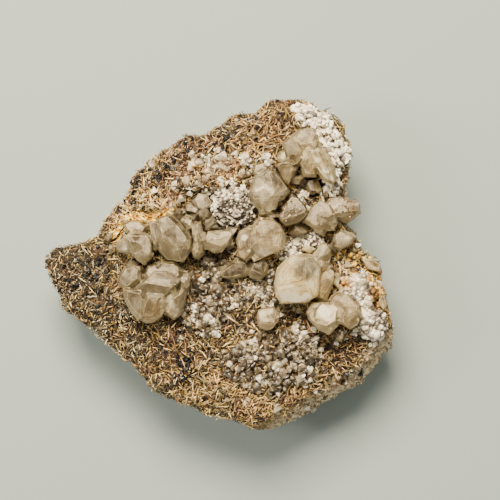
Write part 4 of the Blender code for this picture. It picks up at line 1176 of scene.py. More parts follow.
def top_weight(points, normals):
    """A weight for surface_samples: full on top, little on the sides, none underneath."""
    return np.clip(normals[:, 2] + 0.3, 0, 1)


def solid_samples(node, count, draw):
    """Random places on the upper side of a solid."""
    return surface_samples(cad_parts[node].data, count, draw, top_weight)


def spaced(places, gap):
    """The numbers of the places that keep that gap to every earlier one."""
    kept = []
    for number, place in enumerate(places):
        if all(np.linalg.norm(place - places[other]) > gap for other in kept):
            kept.append(number)
    return np.array(kept)


def domes(centres, normals, radii, per_dome, draw):
    """Places over a half sphere on each centre: (places, directions, height share, owner)."""
    owner = np.repeat(np.arange(len(centres)), per_dome)
    ways = draw.normal(size=(len(owner), 3))
    ways /= np.linalg.norm(ways, axis=1)[:, None]
    rise = (ways * normals[owner]).sum(axis=1)
    ways += normals[owner] * (np.abs(rise) - rise)[:, None]
    share = np.abs(rise)
    return centres[owner] + ways * radii[owner][:, None], ways, share, owner


tried, _ = solid_samples("white_mound", 60, np.random.default_rng(1))
print("of 60 places", len(spaced(tried, 2 * MM)), "are 2 mm apart")

# %% Crust material
# Smithsonite or aragonite, grown as fine fibres: matt and white with almost no gloss, grey in
# the gaps as painted shade, and golden brown where iron has stained it.
crust_material, shader = new_material("white botryoidal carbonate crust")
tone = add(crust_material, "ShaderNodeAttribute", attribute_name="tone")
iron = add(crust_material, "ShaderNodeAttribute", attribute_name="iron")
crust_colour = add(crust_material, "ShaderNodeValToRGB", {"Fac": tone.outputs["Fac"]}, ramp=[
    (0.0, "#38312a"), (0.25, "#6e6558"), (0.5, "#aaa192"), (0.8, "#ebe1c8"), (1.0, "#fffae6")])
iron_colour = add(crust_material, "ShaderNodeValToRGB", {"Fac": tone.outputs["Fac"]}, ramp=[
    (0.0, "#1e1204"), (0.3, "#4a320e"), (0.6, "#74501a"), (0.85, "#966e2c"), (1.0, "#c09850")])
stained_crust = add(crust_material, "ShaderNodeMix", {
    "Factor": iron.outputs["Fac"], "A": crust_colour.outputs["Color"],
    "B": iron_colour.outputs["Color"]}, data_type="RGBA")
place = add(crust_material, "ShaderNodeTexCoord").outputs["Object"]
fuzz = add(crust_material, "ShaderNodeTexNoise", {
    "Vector": place, "Scale": 1 / (0.25 * MM), "Detail": 4.0})
fuzz_bump = add(crust_material, "ShaderNodeBump", {
    "Height": fuzz.outputs["Fac"], "Distance": 0.08 * MM, "Strength": 0.7})
feed(crust_material, shader, {
    "Base Color": stained_crust.outputs["Result"],
    "Normal": fuzz_bump.outputs["Normal"],
    "Roughness": 0.75,
    "Subsurface Weight": 0.15,
    "Subsurface Scale": 0.4 * MM})

IRON_SPOTS = [              # where iron has stained the crusts: middle and reach in mm, amount
    ShadeSpot(44.4, -6.8, 3.1, 1.00), ShadeSpot(44.9, -10.8, 2.6, 0.95),
    ShadeSpot(42.4, -2.6, 2.4, 0.90), ShadeSpot(35.2, -5.0, 2.5, 0.95),
]


def stain_with_iron(crust):
    """Stores how much iron has stained the crust at each of its points."""
    amount = spot_sum(mesh_points(crust.data), IRON_SPOTS)
    set_number(crust.data, "iron", np.clip(amount, 0, 1))


print("crust nodes:", len(crust_material.node_tree.nodes))

# %% Knobs with buds, and ridges
def knobs(name, inner, shapes, centres, normals, radii, heart_share, buds_each, span, tones, slope,
          grit, draw):
    """Knobs of buds, as two meshes: the solid hearts, and buds over the upper half of each.

    Inner and shapes are the prototypes of a heart and of a bud. Heart_share is the size of a
    heart in its knob, and span the least and greatest size of a bud in millimetres. Each knob
    has its tone. A bud is paler by the slope towards the knob's top, and by chance with a spread
    of grit. The darker buds low on a knob, and the hearts that are darker still, are painted shade
    between the knobs.
    """
    frames = turned_frames(normals, draw, 1.0, 1.0)
    sizes = 2 * heart_share * radii[:, None] * draw.uniform(0.8, 1.1, size=(len(centres), 3))
    hearts, owners = scattered(name + "_knobs", inner, centres, frames, sizes, draw)
    # hearts are darker than their buds: painted shade under the buds
    set_number(hearts.data, "tone", np.clip(tones - 0.2 * slope, 0, 1)[owners])

    places, ways, share, owner = domes(centres, normals, radii, buds_each, draw)
    diameters = draw.uniform(*span, size=len(places)) * MM
    sizes = diameters[:, None] * draw.uniform(0.7, 1.3, size=(len(places), 3))
    frames = turned_frames(ways, draw, 1.0, 1.0)
    shell, owners = scattered(name + "_buds", shapes, places, frames, sizes, draw)
    # buds low on a knob are darker: painted shade in the gaps between knobs
    tones = tones[owner] + slope * (share - 0.6) + draw.normal(scale=grit, size=len(places))
    set_number(shell.data, "tone", np.clip(tones, 0, 1)[owners])
    for made in (hearts, shell):
        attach(made, "root")
    print(name, len(centres), "knobs,", len(places), "buds,", len(shell.data.polygons), "triangles")
    return hearts, shell


def knob_places(node, tries, knob, spread, sunk, draw):
    """Centres of knobs on a solid, their normals and radii.

    Knob is a radius in millimetres, and sunk how deep a centre lies, as a share of its radius.
    """
    centres, normals = solid_samples(node, tries, draw)
    kept = spaced(centres, 1.35 * knob * MM)
    centres, normals = centres[kept], normals[kept]
    radii = knob * draw.uniform(1 - spread, 1 + spread, size=len(centres)) * MM
    return centres - normals * (sunk * radii)[:, None], normals, radii


def ridges(name, node, tries, gap, lengths, widths, paleness, seed):
    """Rolls that lie about on a crust. The gap is between their middles, in millimetres."""
    draw = np.random.default_rng(seed)
    places, normals = solid_samples(node, tries, draw)
    kept = spaced(places, gap * MM)
    places, normals = places[kept], normals[kept]
    length = draw.uniform(*lengths, size=len(places)) * MM
    width = draw.uniform(*widths, size=len(places)) * MM
    frames = turned_frames(normals, draw, 0.15, 0.5, bunches(places, draw))
    lifted = places + normals * (0.2 * width)[:, None]
    made, owners = scattered(
        name, rolls, lifted, frames, np.stack([length, width, width], axis=1), draw)
    tones = paleness + draw.normal(scale=0.12, size=len(places))
    set_number(made.data, "tone", np.clip(tones, 0, 1)[owners])
    made.data.shade_smooth()
    made.data.materials.append(crust_material)
    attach(made, "root")
    stain_with_iron(made)
    print(name, len(places), "ridges")


print("knobs and ridges lie on", sum("white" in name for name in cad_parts), "solids")

# %% Grow the white crusts
def white_crust(name, node, tries, knob, heart_share, buds_each, span, paleness, swell, gaps,
                seed):
    """A crust's base and its knobs.

    Swell raises some knobs, which are paler, and sinks others. Gaps is how pale the base is; it
    shows between the knobs, and a dark base there is painted shade.
    """
    draw = np.random.default_rng(seed)
    base = base_of(name + "_base", node, 0.5 * MM, 0.5 * MM, seed, crust_material)
    # the base shows in the gaps between the knobs, and its low tone is painted shade there
    set_number(base.data, "tone", np.full(len(base.data.vertices), gaps))
    stain_with_iron(base)
    centres, normals, radii = knob_places(node, tries, knob, 0.45, 0.65, draw)
    hills = fractal(centres, 2.6 * MM, seed, 2)
    centres = centres + normals * (swell * MM * hills)[:, None]
    tones = paleness + draw.normal(scale=0.12, size=len(centres)) + 0.45 * swell * hills
    # knobs facing up and left in the picture, towards the key light, are paler: painted light
    tones += 0.18 * fractal(centres, 5 * MM, seed) + 0.3 * (normals[:, 1] - normals[:, 0])
    for made in knobs(name, cores, buds, centres, normals, radii, heart_share, buds_each, span,
                      tones, 1.05, 0.10, draw):
        made.data.shade_smooth()
        made.data.materials.append(crust_material)
        stain_with_iron(made)


white_crust("white_mound", "white_mound", 1700, 0.70, 0.80, 8, (0.30, 0.95), 0.26, 1.1, 0.0, 52)
white_crust("top_white_crust", "white_crust_top", 1200, 1.2, 0.95, 16, (0.35, 1.15), 0.60, 1.0,
            0.10, 53)
white_crust("right_white_crust", "white_crust_right", 1200, 1.15, 1.15, 14, (0.5, 1.3), 0.64, 0.6,
            0.45, 54)
white_crust("middle_white_crust", "white_crust_middle", 500, 0.9, 0.9, 14, (0.30, 0.75), 0.58, 0.6,
            0.15, 55)
ridges("top_crust_ridges", "white_crust_top", 900, 1.8, (1.6, 4.0), (0.9, 1.6), 0.98, 56)
ridges("right_crust_ridges", "white_crust_right", 400, 2.8, (1.7, 2.9), (1.3, 2.0), 0.74, 57)
ridges("middle_crust_ridges", "white_crust_middle", 160, 1.5, (1.0, 2.2), (0.6, 1.1), 0.84, 58)
ridges("mound_ridges", "white_mound", 30, 3.0, (1.4, 3.0), (0.5, 0.8), 0.55, 59)

# %% [markdown]
# ## Fuzzy masses between the crystals
# Little heaps of the same crust fill corners between the crystals. They have no solids of their
# own, being two or three millimetres wide, so their knobs are dropped onto whatever lies there:
# the plate or a crystal, whichever is on top. The middle of a heap is its highest part.

# %% Fuzzy masses between the crystals
# Each mass: its middle and reach in millimetres, and how pale it is.
Mass = namedtuple("Mass", "x y reach tone")
MASSES = [
    Mass(-2.0, -1.5, 2.2, 0.40), Mass(-1.5, -5.8, 1.8, 0.62), Mass(9.6, -6.4, 1.9, 0.58),
    Mass(11.4, -8.2, 2.0, 0.48), Mass(13.8, -2.6, 1.7, 0.48), Mass(13.0, -5.6, 1.8, 0.46),
    Mass(14.4, 0.2, 1.4, 0.44), Mass(-6.7, -12.4, 1.9, 0.78), Mass(-6.6, -15.0, 2.1, 0.62),
    Mass(-2.6, -11.2, 1.7, 0.78), Mass(-2.8, -13.4, 1.3, 0.62), Mass(2.6, -11.0, 1.8, 0.64),
    Mass(-2.0, -17.4, 2.2, 0.60), Mass(-4.0, -18.8, 1.2, 0.74), Mass(14.6, -10.6, 1.4, 0.62),
    Mass(7.0, -25.0, 1.8, 0.66), Mass(27.0, -22.4, 2.2, 0.46), Mass(22.0, -17.6, 2.0, 0.42),
    Mass(-3.8, 22.8, 2.4, 0.42), Mass(1.2, 27.2, 2.2, 0.50), Mass(2.4, 23.4, 2.4, 0.66),
    Mass(7.6, 29.4, 1.8, 0.62), Mass(13.2, 30.4, 2.0, 0.70), Mass(37.2, -7.6, 1.9, 0.50),
    Mass(34.6, -19.2, 1.7, 0.60), Mass(38.8, -19.0, 1.8, 0.56), Mass(43.2, -22.2, 1.4, 0.78),
    Mass(23.8, 19.8, 1.6, 0.66), Mass(40.0, -2.8, 1.5, 0.48), Mass(2.8, -29.6, 1.4, 0.50),
]

draw = np.random.default_rng(60)
owner = np.repeat(np.arange(len(MASSES)), [int(2.4 * one.reach ** 2) for one in MASSES])
gap = np.sqrt(draw.random(len(owner)))
turn = draw.uniform(0, math.tau, size=len(owner))
middle = np.array([(one.x, one.y) for one in MASSES])[owner]
reach = np.array([one.reach for one in MASSES])[owner]
spots = middle + (gap * reach)[:, None] * np.column_stack([np.cos(turn), np.sin(turn)])
hits = [on_top(x, y) for x, y in spots]
rise = 0.55 * reach * (1 - gap * gap) * MM
centres = np.array([ground for ground, _ in hits]) + np.array([0, 0, 1]) * rise[:, None]
normals = np.array([(way + Vector((0, 0, 1))).normalized() for _, way in hits])
radii = draw.uniform(0.45, 0.85, size=len(centres)) * MM
tones = np.array([one.tone for one in MASSES])[owner] + draw.normal(scale=0.14, size=len(owner))
for made in knobs("crust_masses", cores, buds, centres, normals, radii, 0.85, 9, (0.30, 0.85),
                  tones, 0.6, 0.10, draw):
    made.data.shade_smooth()
    made.data.materials.append(crust_material)

# %% [markdown]
# ## Small pale crystals
# Between the large crystals and down the lower half the barite is sprinkled with crystals one to
# three millimetres long, clear to white, that stand on the blades in every direction. A dozen
# or so uneven little blocks, hulls of a few random points, serve as prototypes. The druses fill
# the solids' mats: rounded hearts with blocks on them, and blades between. Single crystals are
# scattered around, more and more thinly, each with smaller ones at its foot.

# %% Small crystal prototypes and material
def small_block(draw):
    """An uneven little crystal with a dozen faces or so, one unit across."""
    points = draw.normal(size=(9, 3))
    points /= np.linalg.norm(points, axis=1)[:, None]
    return hull(points * draw.uniform(0.42, 0.58, size=(9, 1)))


little_draw = np.random.default_rng(61)
little_blocks = [small_block(little_draw) for _ in range(14)]

# Clear to milky small crystals of cerussite: fresher than the large ones, so glossier, and too
# small to show any depth.
small_material, shader = new_material("small clear to milky crystals")
tone = add(small_material, "ShaderNodeAttribute", attribute_name="tone")
place = add(small_material, "ShaderNodeTexCoord").outputs["Object"]
haze = add(small_material, "ShaderNodeTexNoise", {
    "Vector": place, "Scale": 1 / (0.8 * MM), "Detail": 4.0, "Roughness": 0.6})
haze_level = add(small_material, "ShaderNodeMath", {
    0: haze.outputs["Fac"], 1: 0.9, 2: tone.outputs["Fac"]}, operation="MULTIPLY_ADD")
hazy = add(small_material, "ShaderNodeMath", {
    0: haze_level.outputs[0], 1: 0.48}, operation="SUBTRACT")
haze_bump = add(small_material, "ShaderNodeBump", {
    "Height": haze.outputs["Fac"], "Distance": 0.35 * MM, "Strength": 0.7})
feed(small_material, shader, {"Normal": haze_bump.outputs["Normal"]})
small_colour = add(small_material, "ShaderNodeValToRGB", {"Fac": hazy.outputs[0]}, ramp=[
    (0.0, "#352b1e"), (0.2, "#63563f"), (0.4, "#8e8066"), (0.6, "#b8aa8c"), (0.8, "#e4d8ba"),
    (1.0, "#fff8e6")])
feed(small_material, shader, {
    "Base Color": small_colour.outputs["Color"],
    "IOR": 1.8,
    "Roughness": 0.30,
    "Transmission Weight": 0.32,
    "Subsurface Weight": 0.5,
    "Subsurface Radius": (1.0, 0.85, 0.7),
    "Subsurface Scale": 0.25 * MM})
print("little block triangles:", [len(faces) for _, faces in little_blocks])

# %% Grow the small crystals
CLUMP = 3                   # crystals in a clump


def small_crystals(name, places, normals, smallest, largest, whiteness, seed):
    """Clumps of small crystals, one on each place with smaller ones round its foot."""
    draw = np.random.default_rng(seed)
    owner = np.repeat(np.arange(len(places)), CLUMP)
    first = np.arange(len(owner)) % CLUMP == 0
    across = (smallest + (largest - smallest) * draw.power(0.7, size=len(places))) * MM
    shift = np.cross(normals[owner], draw.normal(size=(len(owner), 3)))
    shift *= np.where(first, 0.0, 0.55)[:, None] * across[owner][:, None]
    own = across[owner] * np.where(first, 1.0, draw.uniform(0.35, 0.75, size=len(owner)))
    sizes = np.stack([own, own * draw.uniform(0.5, 1.0, size=len(own)),
                      own * draw.uniform(0.8, 1.3, size=len(own))], axis=1)
    frames = turned_frames(normals[owner], draw, 0.8, 0.8)
    lifted = places[owner] + shift + normals[owner] * (0.12 * own)[:, None]
    made, owners = scattered(name, little_blocks, lifted, frames, sizes, draw)
    tones = (whiteness - 0.18 + draw.gamma(1.2, 0.22, size=len(places)))[owner]
    tones = np.clip(tones + draw.normal(scale=0.10, size=len(own)) - 0.08 * ~first, 0, 1)
    set_number(made.data, "tone", tones[owners])
    made.data.materials.append(small_material)
    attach(made, "root")
    print(name, len(own), "crystals,", len(made.data.polygons), "triangles")


def druse(name, node, tries, knob, buds_each, span, paleness, blades, seed):
    """A mat on its own rough ground: rounded hearts with little blocks on them, and blades."""
    draw = np.random.default_rng(seed)
    base = base_of(name + "_ground", node, 0.45 * MM, 0.6 * MM, seed, rock_material)
    set_number(base.data, "cover", np.ones(len(base.data.vertices)))
    set_number(base.data, "stain", np.zeros(len(base.data.vertices)))
    centres, normals, radii = knob_places(node, tries, knob, 0.5, 0.30, draw)
    tones = paleness - 0.30 + draw.gamma(1.0, 0.22, size=len(centres))
    hearts, shell = knobs(name, cores, little_blocks, centres, normals, radii, 0.95, buds_each,
                          span, tones, 0.35, 0.16, draw)
    hearts.data.shade_smooth()
    for made in (hearts, shell):
        made.data.materials.append(small_material)
    felt(name + "_blades", base.data, top_weight, chips, blades,
         (0.8, 2.4), (0.18, 0.40), (0.10, 0.18), 0.8, seed + 1)


druse("lower_druse", "druse_lower", 500, 1.15, 4, (0.9, 2.2), 0.46, 500, 62)
druse("middle_druse", "druse_middle", 200, 1.1, 4, (0.9, 2.0), 0.42, 400, 64)
druse("inner_druse", "druse_inner", 60, 0.9, 5, (0.8, 1.7), 0.38, 250, 66)
druse("upper_druse", "druse_upper", 26, 0.9, 4, (0.9, 1.9), 0.66, 1700, 68)

# %% Single small crystals
# Each patch: its middle and reach in millimetres, and how many crystals it has.
Patch = namedtuple("Patch", "x y reach count")
SPRINKLES = [
    Patch(16, -27, 11, 60), Patch(-3, -7, 7, 34), Patch(-6, -14, 4, 14), Patch(9, -7, 5, 24),
    Patch(-5, 23, 8, 26), Patch(4, 28, 8, 18), Patch(28, 0, 6, 26), Patch(37, -8, 6, 40),
    Patch(20, 8, 6, 24), Patch(24, -19, 7, 34), Patch(-14, 28, 9, 10), Patch(24, 20, 6, 30),
    Patch(-10, 16, 5, 12),
]


def patch_weight(patches):
    """A weight for surface_samples that gathers places in the patches, on the felt."""
    def weight(points, normals):
        total = np.zeros(len(points))
        for patch in patches:
            gap = np.hypot(points[:, 0] - patch.x * MM, points[:, 1] - patch.y * MM)
            reach = patch.reach * MM
            total += patch.count / patch.reach ** 2 * np.exp(-((gap / reach) ** 2))
        return total * np.clip(normals[:, 2] + 0.1, 0, 1)
    return weight


draw = np.random.default_rng(70)
total = sum(patch.count for patch in SPRINKLES)
places, normals = free_places(rock.data, total, draw, patch_weight(SPRINKLES), 1.0 * MM)
small_crystals("sprinkled_crystals", places + normals * 0.3 * MM, normals, 1.3, 3.3, 0.58, 71)

# %% [markdown]
# ## Lumps that stand out
# The brightest small knobs and blocks are what the eye remembers of this face, so they stand
# where the real ones do, by two tables. The white and cream ones are rounded, like the hearts of
# the crusts, and the clear ones are blocks.

# %% Lumps that stand out
# Each lump: its place, length, width and turn in millimetres and degrees, and how pale it is.
Lump = namedtuple("Lump", "x y length width turn tone")
ROUND_LUMPS = [             # white and cream knobs, down the middle and over the lower druse
    Lump(-5.3, -15.8, 1.5, 1.3, 0, 1.00), Lump(-4.6, -5.1, 1.6, 0.9, 120, 0.95),
    Lump(-7.5, -3.2, 1.6, 1.0, 50, 0.85), Lump(-9.0, -12.2, 1.3, 1.0, 0, 0.70),
    Lump(-7.2, -11.2, 1.9, 1.4, 20, 0.95), Lump(-4.6, -13.6, 0.9, 0.8, 0, 0.82),
    Lump(-2.8, -17.0, 2.0, 0.7, 140, 1.00), Lump(4.4, -11.2, 1.8, 1.2, 165, 0.92),
    Lump(12.7, -24.5, 1.6, 1.5, 0, 1.00), Lump(23.3, -24.7, 1.8, 1.2, 0, 0.95),
    Lump(17.3, -25.7, 2.7, 1.1, 75, 0.95), Lump(14.2, -28.0, 2.7, 1.2, 70, 1.00),
    Lump(11.2, -26.8, 1.2, 1.1, 0, 0.95), Lump(22.3, -21.3, 2.7, 1.6, 60, 1.00),
    Lump(23.8, -19.0, 2.0, 1.7, 30, 0.90), Lump(9.0, -18.5, 1.4, 1.2, 0, 0.92),
    Lump(10.5, -20.5, 1.9, 1.3, 10, 1.00), Lump(5.8, -22.8, 1.5, 1.2, 0, 0.95),
    Lump(6.8, -25.0, 2.8, 2.2, 45, 0.82), Lump(14.3, -30.5, 1.8, 1.4, 150, 0.88),
    Lump(26.0, -27.3, 2.3, 1.0, 110, 0.92), Lump(21.0, -18.0, 2.2, 1.8, 90, 0.74),
    Lump(4.0, -30.6, 1.5, 1.0, 0, 0.90), Lump(19.0, -23.3, 1.2, 1.0, 0, 0.90),
    Lump(20.0, -28.4, 1.6, 1.2, 0, 0.88), Lump(25.3, -23.5, 2.1, 1.0, 100, 0.84),
    Lump(16.5, -36.2, 1.5, 1.0, 130, 0.92), Lump(14.0, -35.6, 1.7, 1.1, 120, 0.84),
    Lump(18.3, -34.6, 1.5, 1.0, 100, 0.86), Lump(25.4, -32.2, 1.6, 1.2, 50, 0.92),
    Lump(24.2, -34.0, 1.3, 1.0, 0, 0.86), Lump(28.5, -23.8, 1.7, 1.3, 20, 0.78),
    Lump(2.0, -26.4, 1.4, 1.1, 0, 0.86), Lump(38.6, -3.6, 1.6, 1.2, 0, 0.92),
    Lump(41.2, -2.8, 1.4, 1.0, 40, 0.88), Lump(42.6, -5.2, 1.6, 1.2, 0, 0.90),
]
BLOCKY_LUMPS = [            # clear to cream blocks, over the upper left and among the felt
    Lump(-18.3, 21.5, 2.3, 1.7, 30, 0.80), Lump(-10.8, 19.0, 2.4, 2.0, 40, 0.76),
    Lump(-8.5, 20.3, 2.2, 1.5, 10, 1.00), Lump(-8.7, 22.1, 2.2, 1.3, 170, 0.95),
    Lump(-6.8, 21.9, 2.3, 1.4, 160, 0.90), Lump(-8.3, 28.0, 2.8, 2.2, 100, 0.95),
    Lump(-7.8, 31.4, 2.6, 1.8, 100, 0.76), Lump(-12.0, 23.0, 2.8, 1.8, 10, 0.74),
    Lump(-9.5, 24.2, 3.0, 2.4, 60, 0.68), Lump(0.5, 31.0, 4.0, 2.8, 10, 0.90),
    Lump(4.4, 31.4, 2.2, 2.1, 0, 0.95), Lump(0.5, 27.6, 4.0, 2.4, 170, 0.62),
    Lump(3.4, 23.8, 2.8, 1.9, 100, 0.97), Lump(-2.6, 27.9, 1.9, 1.5, 100, 0.35),
    Lump(-3.5, 20.6, 1.8, 1.3, 150, 0.92), Lump(-2.9, 30.6, 1.6, 1.4, 0, 0.86),
    Lump(-0.8, 22.0, 1.5, 1.1, 0, 0.92), Lump(-4.8, 25.6, 1.6, 1.0, 150, 0.95),
    Lump(-2.0, 25.6, 1.8, 1.0, 140, 0.90), Lump(12.5, 31.0, 2.4, 1.5, 20, 0.92),
    Lump(14.4, 29.6, 2.0, 1.5, 60, 0.88), Lump(9.0, 28.8, 2.0, 1.3, 100, 0.84),
    Lump(7.2, 27.0, 2.4, 1.7, 30, 0.78), Lump(23.5, 20.6, 2.6, 1.8, 70, 0.84),
    Lump(25.8, 22.8, 2.8, 1.8, 110, 0.50), Lump(-1.5, -5.6, 2.7, 2.3, 0, 0.78),
    Lump(1.3, -6.6, 2.1, 1.6, 60, 0.60), Lump(4.8, -8.8, 2.3, 2.0, 0, 0.62),
    Lump(-6.0, -1.6, 2.0, 1.6, 0, 0.48), Lump(-4.0, -3.2, 1.9, 1.5, 90, 0.38),
    Lump(-9.3, -16.0, 2.8, 2.2, 160, 0.48), Lump(8.0, -7.6, 1.7, 1.3, 120, 0.60),
    Lump(13.5, -22.2, 2.8, 2.0, 120, 0.50), Lump(12.2, -33.0, 2.8, 2.2, 40, 0.60),
    Lump(22.4, -31.6, 3.0, 2.4, 20, 0.55), Lump(8.0, -28.0, 3.2, 2.6, 30, 0.50),
]


def lumps(name, shapes, table, scale, seed):
    """One mesh of the lumps of a table, each with its foot in the ground."""
    draw = np.random.default_rng(seed)
    ground, ways = np.array([on_top(one.x, one.y) for one in table]).transpose(1, 0, 2)
    ways = ways + np.array([0, 0, 1.5])
    ways /= np.linalg.norm(ways, axis=1)[:, None]
    turns = np.radians([one.turn for one in table])
    along = np.column_stack([np.cos(turns), np.sin(turns), np.zeros(len(table))])
    across = np.cross(ways, along)
    across /= np.linalg.norm(across, axis=1)[:, None]
    frames = np.stack([np.cross(across, ways), across, ways], axis=2)
    sizes = np.array([(one.length, one.width, one.width) for one in table]) * MM
    made, owners = scattered(
        name, shapes, ground + ways * (0.40 * sizes[:, 1:2]), frames, scale * sizes, draw)
    set_number(made.data, "tone", np.array([one.tone for one in table])[owners])
    made.data.materials.append(small_material)
    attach(made, "root")
    print(name, len(table), "lumps")
    return made


lumps("round_lumps", cores, ROUND_LUMPS, 1.1, 77).data.shade_smooth()
lumps("blocky_lumps", little_blocks, BLOCKY_LUMPS, 1.3, 78)

# %% [markdown]
# ## Limonite
# Iron has also settled as limonite: a golden to orange shell along the lip that the left crystals
# stand against, and honey-brown knobs on the right rim. The shell is a row of overlapping bent
# flakes that follow the lip, and the knobs are rounded like the hearts of the white crusts.

# %% Limonite material
# Limonite, a mix of iron oxides: golden to orange-brown, with a waxy gloss where it is smooth.
limonite_material, shader = new_material("orange-brown limonite")
place = add(limonite_material, "ShaderNodeTexCoord").outputs["Object"]
ochre_noise = add(limonite_material, "ShaderNodeTexNoise", {
    "Vector": place, "Scale": 1 / (1.5 * MM), "Detail": 4.0})
ochre = add(limonite_material, "ShaderNodeValToRGB", {"Fac": ochre_noise.outputs["Fac"]}, ramp=[
    (0.34, "#74420e"), (0.43, "#bc8426"), (0.51, "#e8c24e"), (0.60, "#fce88a"), (0.70, "#fffad0")])
feed(limonite_material, shader, {"Base Color": ochre.outputs["Color"], "Roughness": 0.4})
print("limonite nodes:", len(limonite_material.node_tree.nodes))

# %% Shell along the lip and knobs on the rim
LIP = [(-29.0, 9.0), (-27.5, 11.8), (-25.8, 13.8), (-23.5, 14.2), (-21.0, 13.4), (-18.6, 13.8),
       (-15.8, 14.8), (-13.4, 16.2)]
LIP_FLAKES = 90
KNOB_PATCHES = [
    Patch(41, 3, 3, 40), Patch(43, -4, 3, 60), Patch(45, -10, 3, 70), Patch(35, -5, 3.5, 20),
    Patch(35, 3.5, 3, 20), Patch(21, 22.5, 1.5, 6),
]


def dropped(xs, ys):
    """Places on the plate under those x and y: (points, normals)."""
    found = [below(plate_tree, x, y) for x, y in zip(xs, ys)]
    return (np.array([hit[0] for hit in found]), np.array([hit[1] for hit in found]))


draw = np.random.default_rng(75)
along = draw.uniform(0, len(LIP) - 1.001, size=LIP_FLAKES)
part = along.astype(int)
lip = np.array(LIP) * MM
stretch = lip[part + 1] - lip[part]
middles = lip[part] + stretch * (along - part)[:, None]
middles += draw.normal(scale=0.5 * MM, size=(LIP_FLAKES, 2))
places, normals = dropped(middles[:, 0], middles[:, 1])
square = np.column_stack([-stretch[:, 1], stretch[:, 0], np.zeros(LIP_FLAKES)])
square /= np.linalg.norm(square, axis=1)[:, None]
ways = square + draw.normal(scale=0.35, size=(LIP_FLAKES, 3))
frames = turned_frames(normals, draw, 0.35, 0.8, ways)
sizes = np.stack([draw.uniform(*span, size=LIP_FLAKES) for span in (
    (2.2, 5.0), (0.4, 1.0), (0.18, 0.30))], axis=1) * MM
shell, _ = scattered(
    "limonite_shell", long_blades, places + normals * 0.5 * MM, frames, sizes, draw)

total = sum(patch.count for patch in KNOB_PATCHES)
places, normals = free_places(rock.data, total, draw, patch_weight(KNOB_PATCHES), 1.0 * MM)
sizes = uneven_sizes(len(places), (0.5, 1.5), (0.7, 1.2), draw)
frames = turned_frames(normals, draw, 1.0, 1.0)
rim_knobs, _ = scattered(
    "limonite_knobs", cores, places + normals * 0.3 * MM, frames, sizes, draw)
for made in (shell, rim_knobs):
    made.data.shade_smooth()
    made.data.materials.append(limonite_material)
    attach(made, "root")
    print(made.name, len(made.data.polygons), "triangles")

# %% [markdown]
# ## Clay in the etched pits
# Two of the crystals are etched, and brown clay fills their pits. The pits are shallower than a
# grain of sand, so nothing is cut into the faces: small grains of clay sit where the pits are, as
# thickly as the specked spots say, and the crystals' own material has brown specks there too.

# %% Clay in the etched pits
# Iron-stained clay, dark brown with a few cream specks, and dull.
pit_material, shader = new_material("dark brown clay in the pits")
place = add(pit_material, "ShaderNodeTexCoord").outputs["Object"]
pit_noise = add(pit_material, "ShaderNodeTexNoise", {"Vector": place, "Scale": 1 / (0.9 * MM)})
pit_colour = add(pit_material, "ShaderNodeValToRGB", {"Fac": pit_noise.outputs["Fac"]}, ramp=[
    (0.40, "#3c2a17"), (0.54, "#6c5031"), (0.62, "#d8c096")])
feed(pit_material, shader, {"Base Color": pit_colour.outputs["Color"], "Roughness": 0.8})

PITTED_SHARE = 0.16         # how many of the tried places get a grain
draw = np.random.default_rng(79)
places, normals = [], []
for node, count in (("cerussite_etched", 1100), ("cerussite_overhanging", 1500)):
    spots, ways = solid_samples(node, count, draw)
    pitted = spot_sum(spots, SPECKED_SPOTS) * PITTED_SHARE > draw.random(count)
    places.append(spots[pitted])
    normals.append(ways[pitted])
places, normals = np.concatenate(places), np.concatenate(normals)
sizes = uneven_sizes(len(places), (0.25, 0.80), (0.6, 1.2), draw)
pit_grains, _ = scattered(
    "pit_grains", buds, places, turned_frames(normals, draw, 1.0, 1.0), sizes, draw)
pit_grains.data.materials.append(pit_material)
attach(pit_grains, "root")
print("pit grains:", len(places))

# %% [markdown]
# ## Crumbs of the broken side
# The steep break at the lower right is loose and gritty. Crumbs of the rock lie all over it, and
# each takes its own colour from the rock's material, pale, golden or brown, by the numbers
# `cover` and `stain` that it stores.

# %% Crumbs of the broken side
def uneven_block(draw):
    """A rough block, one unit across."""
    return hull(draw.uniform(-0.5, 0.5, size=(14, 3)))


def on_break(points, normals):
    """1 on the break where no blades cover it, 0 away from it."""
    return beside_break(points) * (1.1 - blade_cover(points, normals))


grain_draw = np.random.default_rng(81)
grain_blocks = [uneven_block(grain_draw) for _ in range(6)]

draw = np.random.default_rng(84)
places, normals = surface_samples(rock.data, 1300, draw, on_break)
sizes = uneven_sizes(len(places), (0.5, 1.5), (0.6, 1.2), draw)
frames = turned_frames(normals, draw, 1.0, 1.0)
crumbs, owners = scattered("broken_grains", grain_blocks, places, frames, sizes, draw)
set_number(crumbs.data, "cover", (draw.random(len(places)) ** 5)[owners] * 0.8)
set_number(crumbs.data, "stain", (draw.random(len(places)) ** 2)[owners] * 1.4)
crumbs.data.materials.append(rock_material)
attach(crumbs, "root")
print("broken grains:", len(places), "triangles:", len(crumbs.data.polygons))

# %% [markdown]
# ## Dark grains
# Here and there sit grains of a blue-black sulphide, alone or in little heaps, with bright glints.
# They are the same uneven blocks, a third of a millimetre to nearly two millimetres across. Heaps
# stand where the real ones do, and single grains are sown over the whole felt.

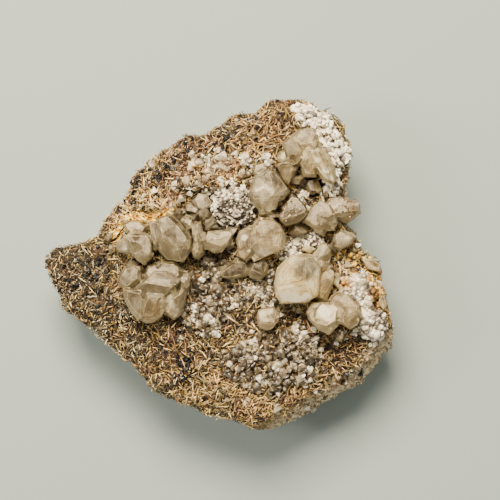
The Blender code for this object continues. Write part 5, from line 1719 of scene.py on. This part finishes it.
# %% Dark grain material
# Sphalerite or galena: opaque and nearly black with a metallic gloss on its cleavage faces.
grain_material, shader = new_material("blue-black sulphide grains")
place = add(grain_material, "ShaderNodeTexCoord").outputs["Object"]
tint = add(grain_material, "ShaderNodeTexNoise", {"Vector": place, "Scale": 1 / (1.2 * MM)})
grain_colour = add(grain_material, "ShaderNodeValToRGB", {"Fac": tint.outputs["Fac"]}, ramp=[
    (0.35, "#0c0c0d"), (0.55, "#1c1e21"), (0.7, "#3d4248")])
feed(grain_material, shader, {
    "Base Color": grain_colour.outputs["Color"],
    "Metallic": 0.4,
    "Roughness": 0.26})
print("grain nodes:", len(grain_material.node_tree.nodes))

# %% Grow the dark grains
GRAIN_HEAPS = [
    Patch(-9.7, -28.0, 2.2, 34), Patch(-10.6, -31.4, 1.8, 26), Patch(-8.4, -17.0, 1.6, 20),
    Patch(3.0, 42.0, 1.4, 12), Patch(9.0, 42.0, 1.8, 18), Patch(-13.0, 27.0, 1.8, 16),
    Patch(-20.0, -27.0, 1.6, 12), Patch(-38.0, -3.0, 6.0, 60), Patch(39.5, -1.0, 1.2, 8),
    Patch(-27.0, -15.0, 2.0, 14), Patch(2.0, 34.0, 8.0, 30), Patch(36.0, -30.5, 3.0, 16),
    Patch(-13.0, 30.0, 3.0, 30), Patch(16.0, 45.0, 3.0, 14), Patch(-26.0, 20.0, 4.0, 36),
    Patch(-20.0, 24.0, 3.0, 30), Patch(-5.0, 35.0, 4.0, 30), Patch(-32.0, -14.0, 5.0, 20),
]


def dark_grains(name, count, weight, smallest, largest, lift, seed):
    """Grains on the felt. Lift is how far a grain's middle is above it, as a share of its size."""
    draw = np.random.default_rng(seed)
    places, normals = free_places(rock.data, count, draw, weight, 1.0 * MM)
    across = draw.uniform(smallest, largest, size=len(places)) * MM
    sizes = across[:, None] * draw.uniform(0.7, 1.1, size=(len(places), 3))
    frames = turned_frames(normals, draw, 1.0, 1.0)
    made, _ = scattered(
        name, grain_blocks, places + normals * (across * lift)[:, None], frames, sizes, draw)
    made.data.materials.append(grain_material)
    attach(made, "root")
    print(name, len(places), "grains,", len(made.data.polygons), "triangles")


dark_grains("dark_grain_heaps", 420, patch_weight(GRAIN_HEAPS), 0.7, 1.6, 0.40, 82)
dark_grains("scattered_dark_grains", 700, blade_cover, 0.4, 0.9, 0.50, 83)
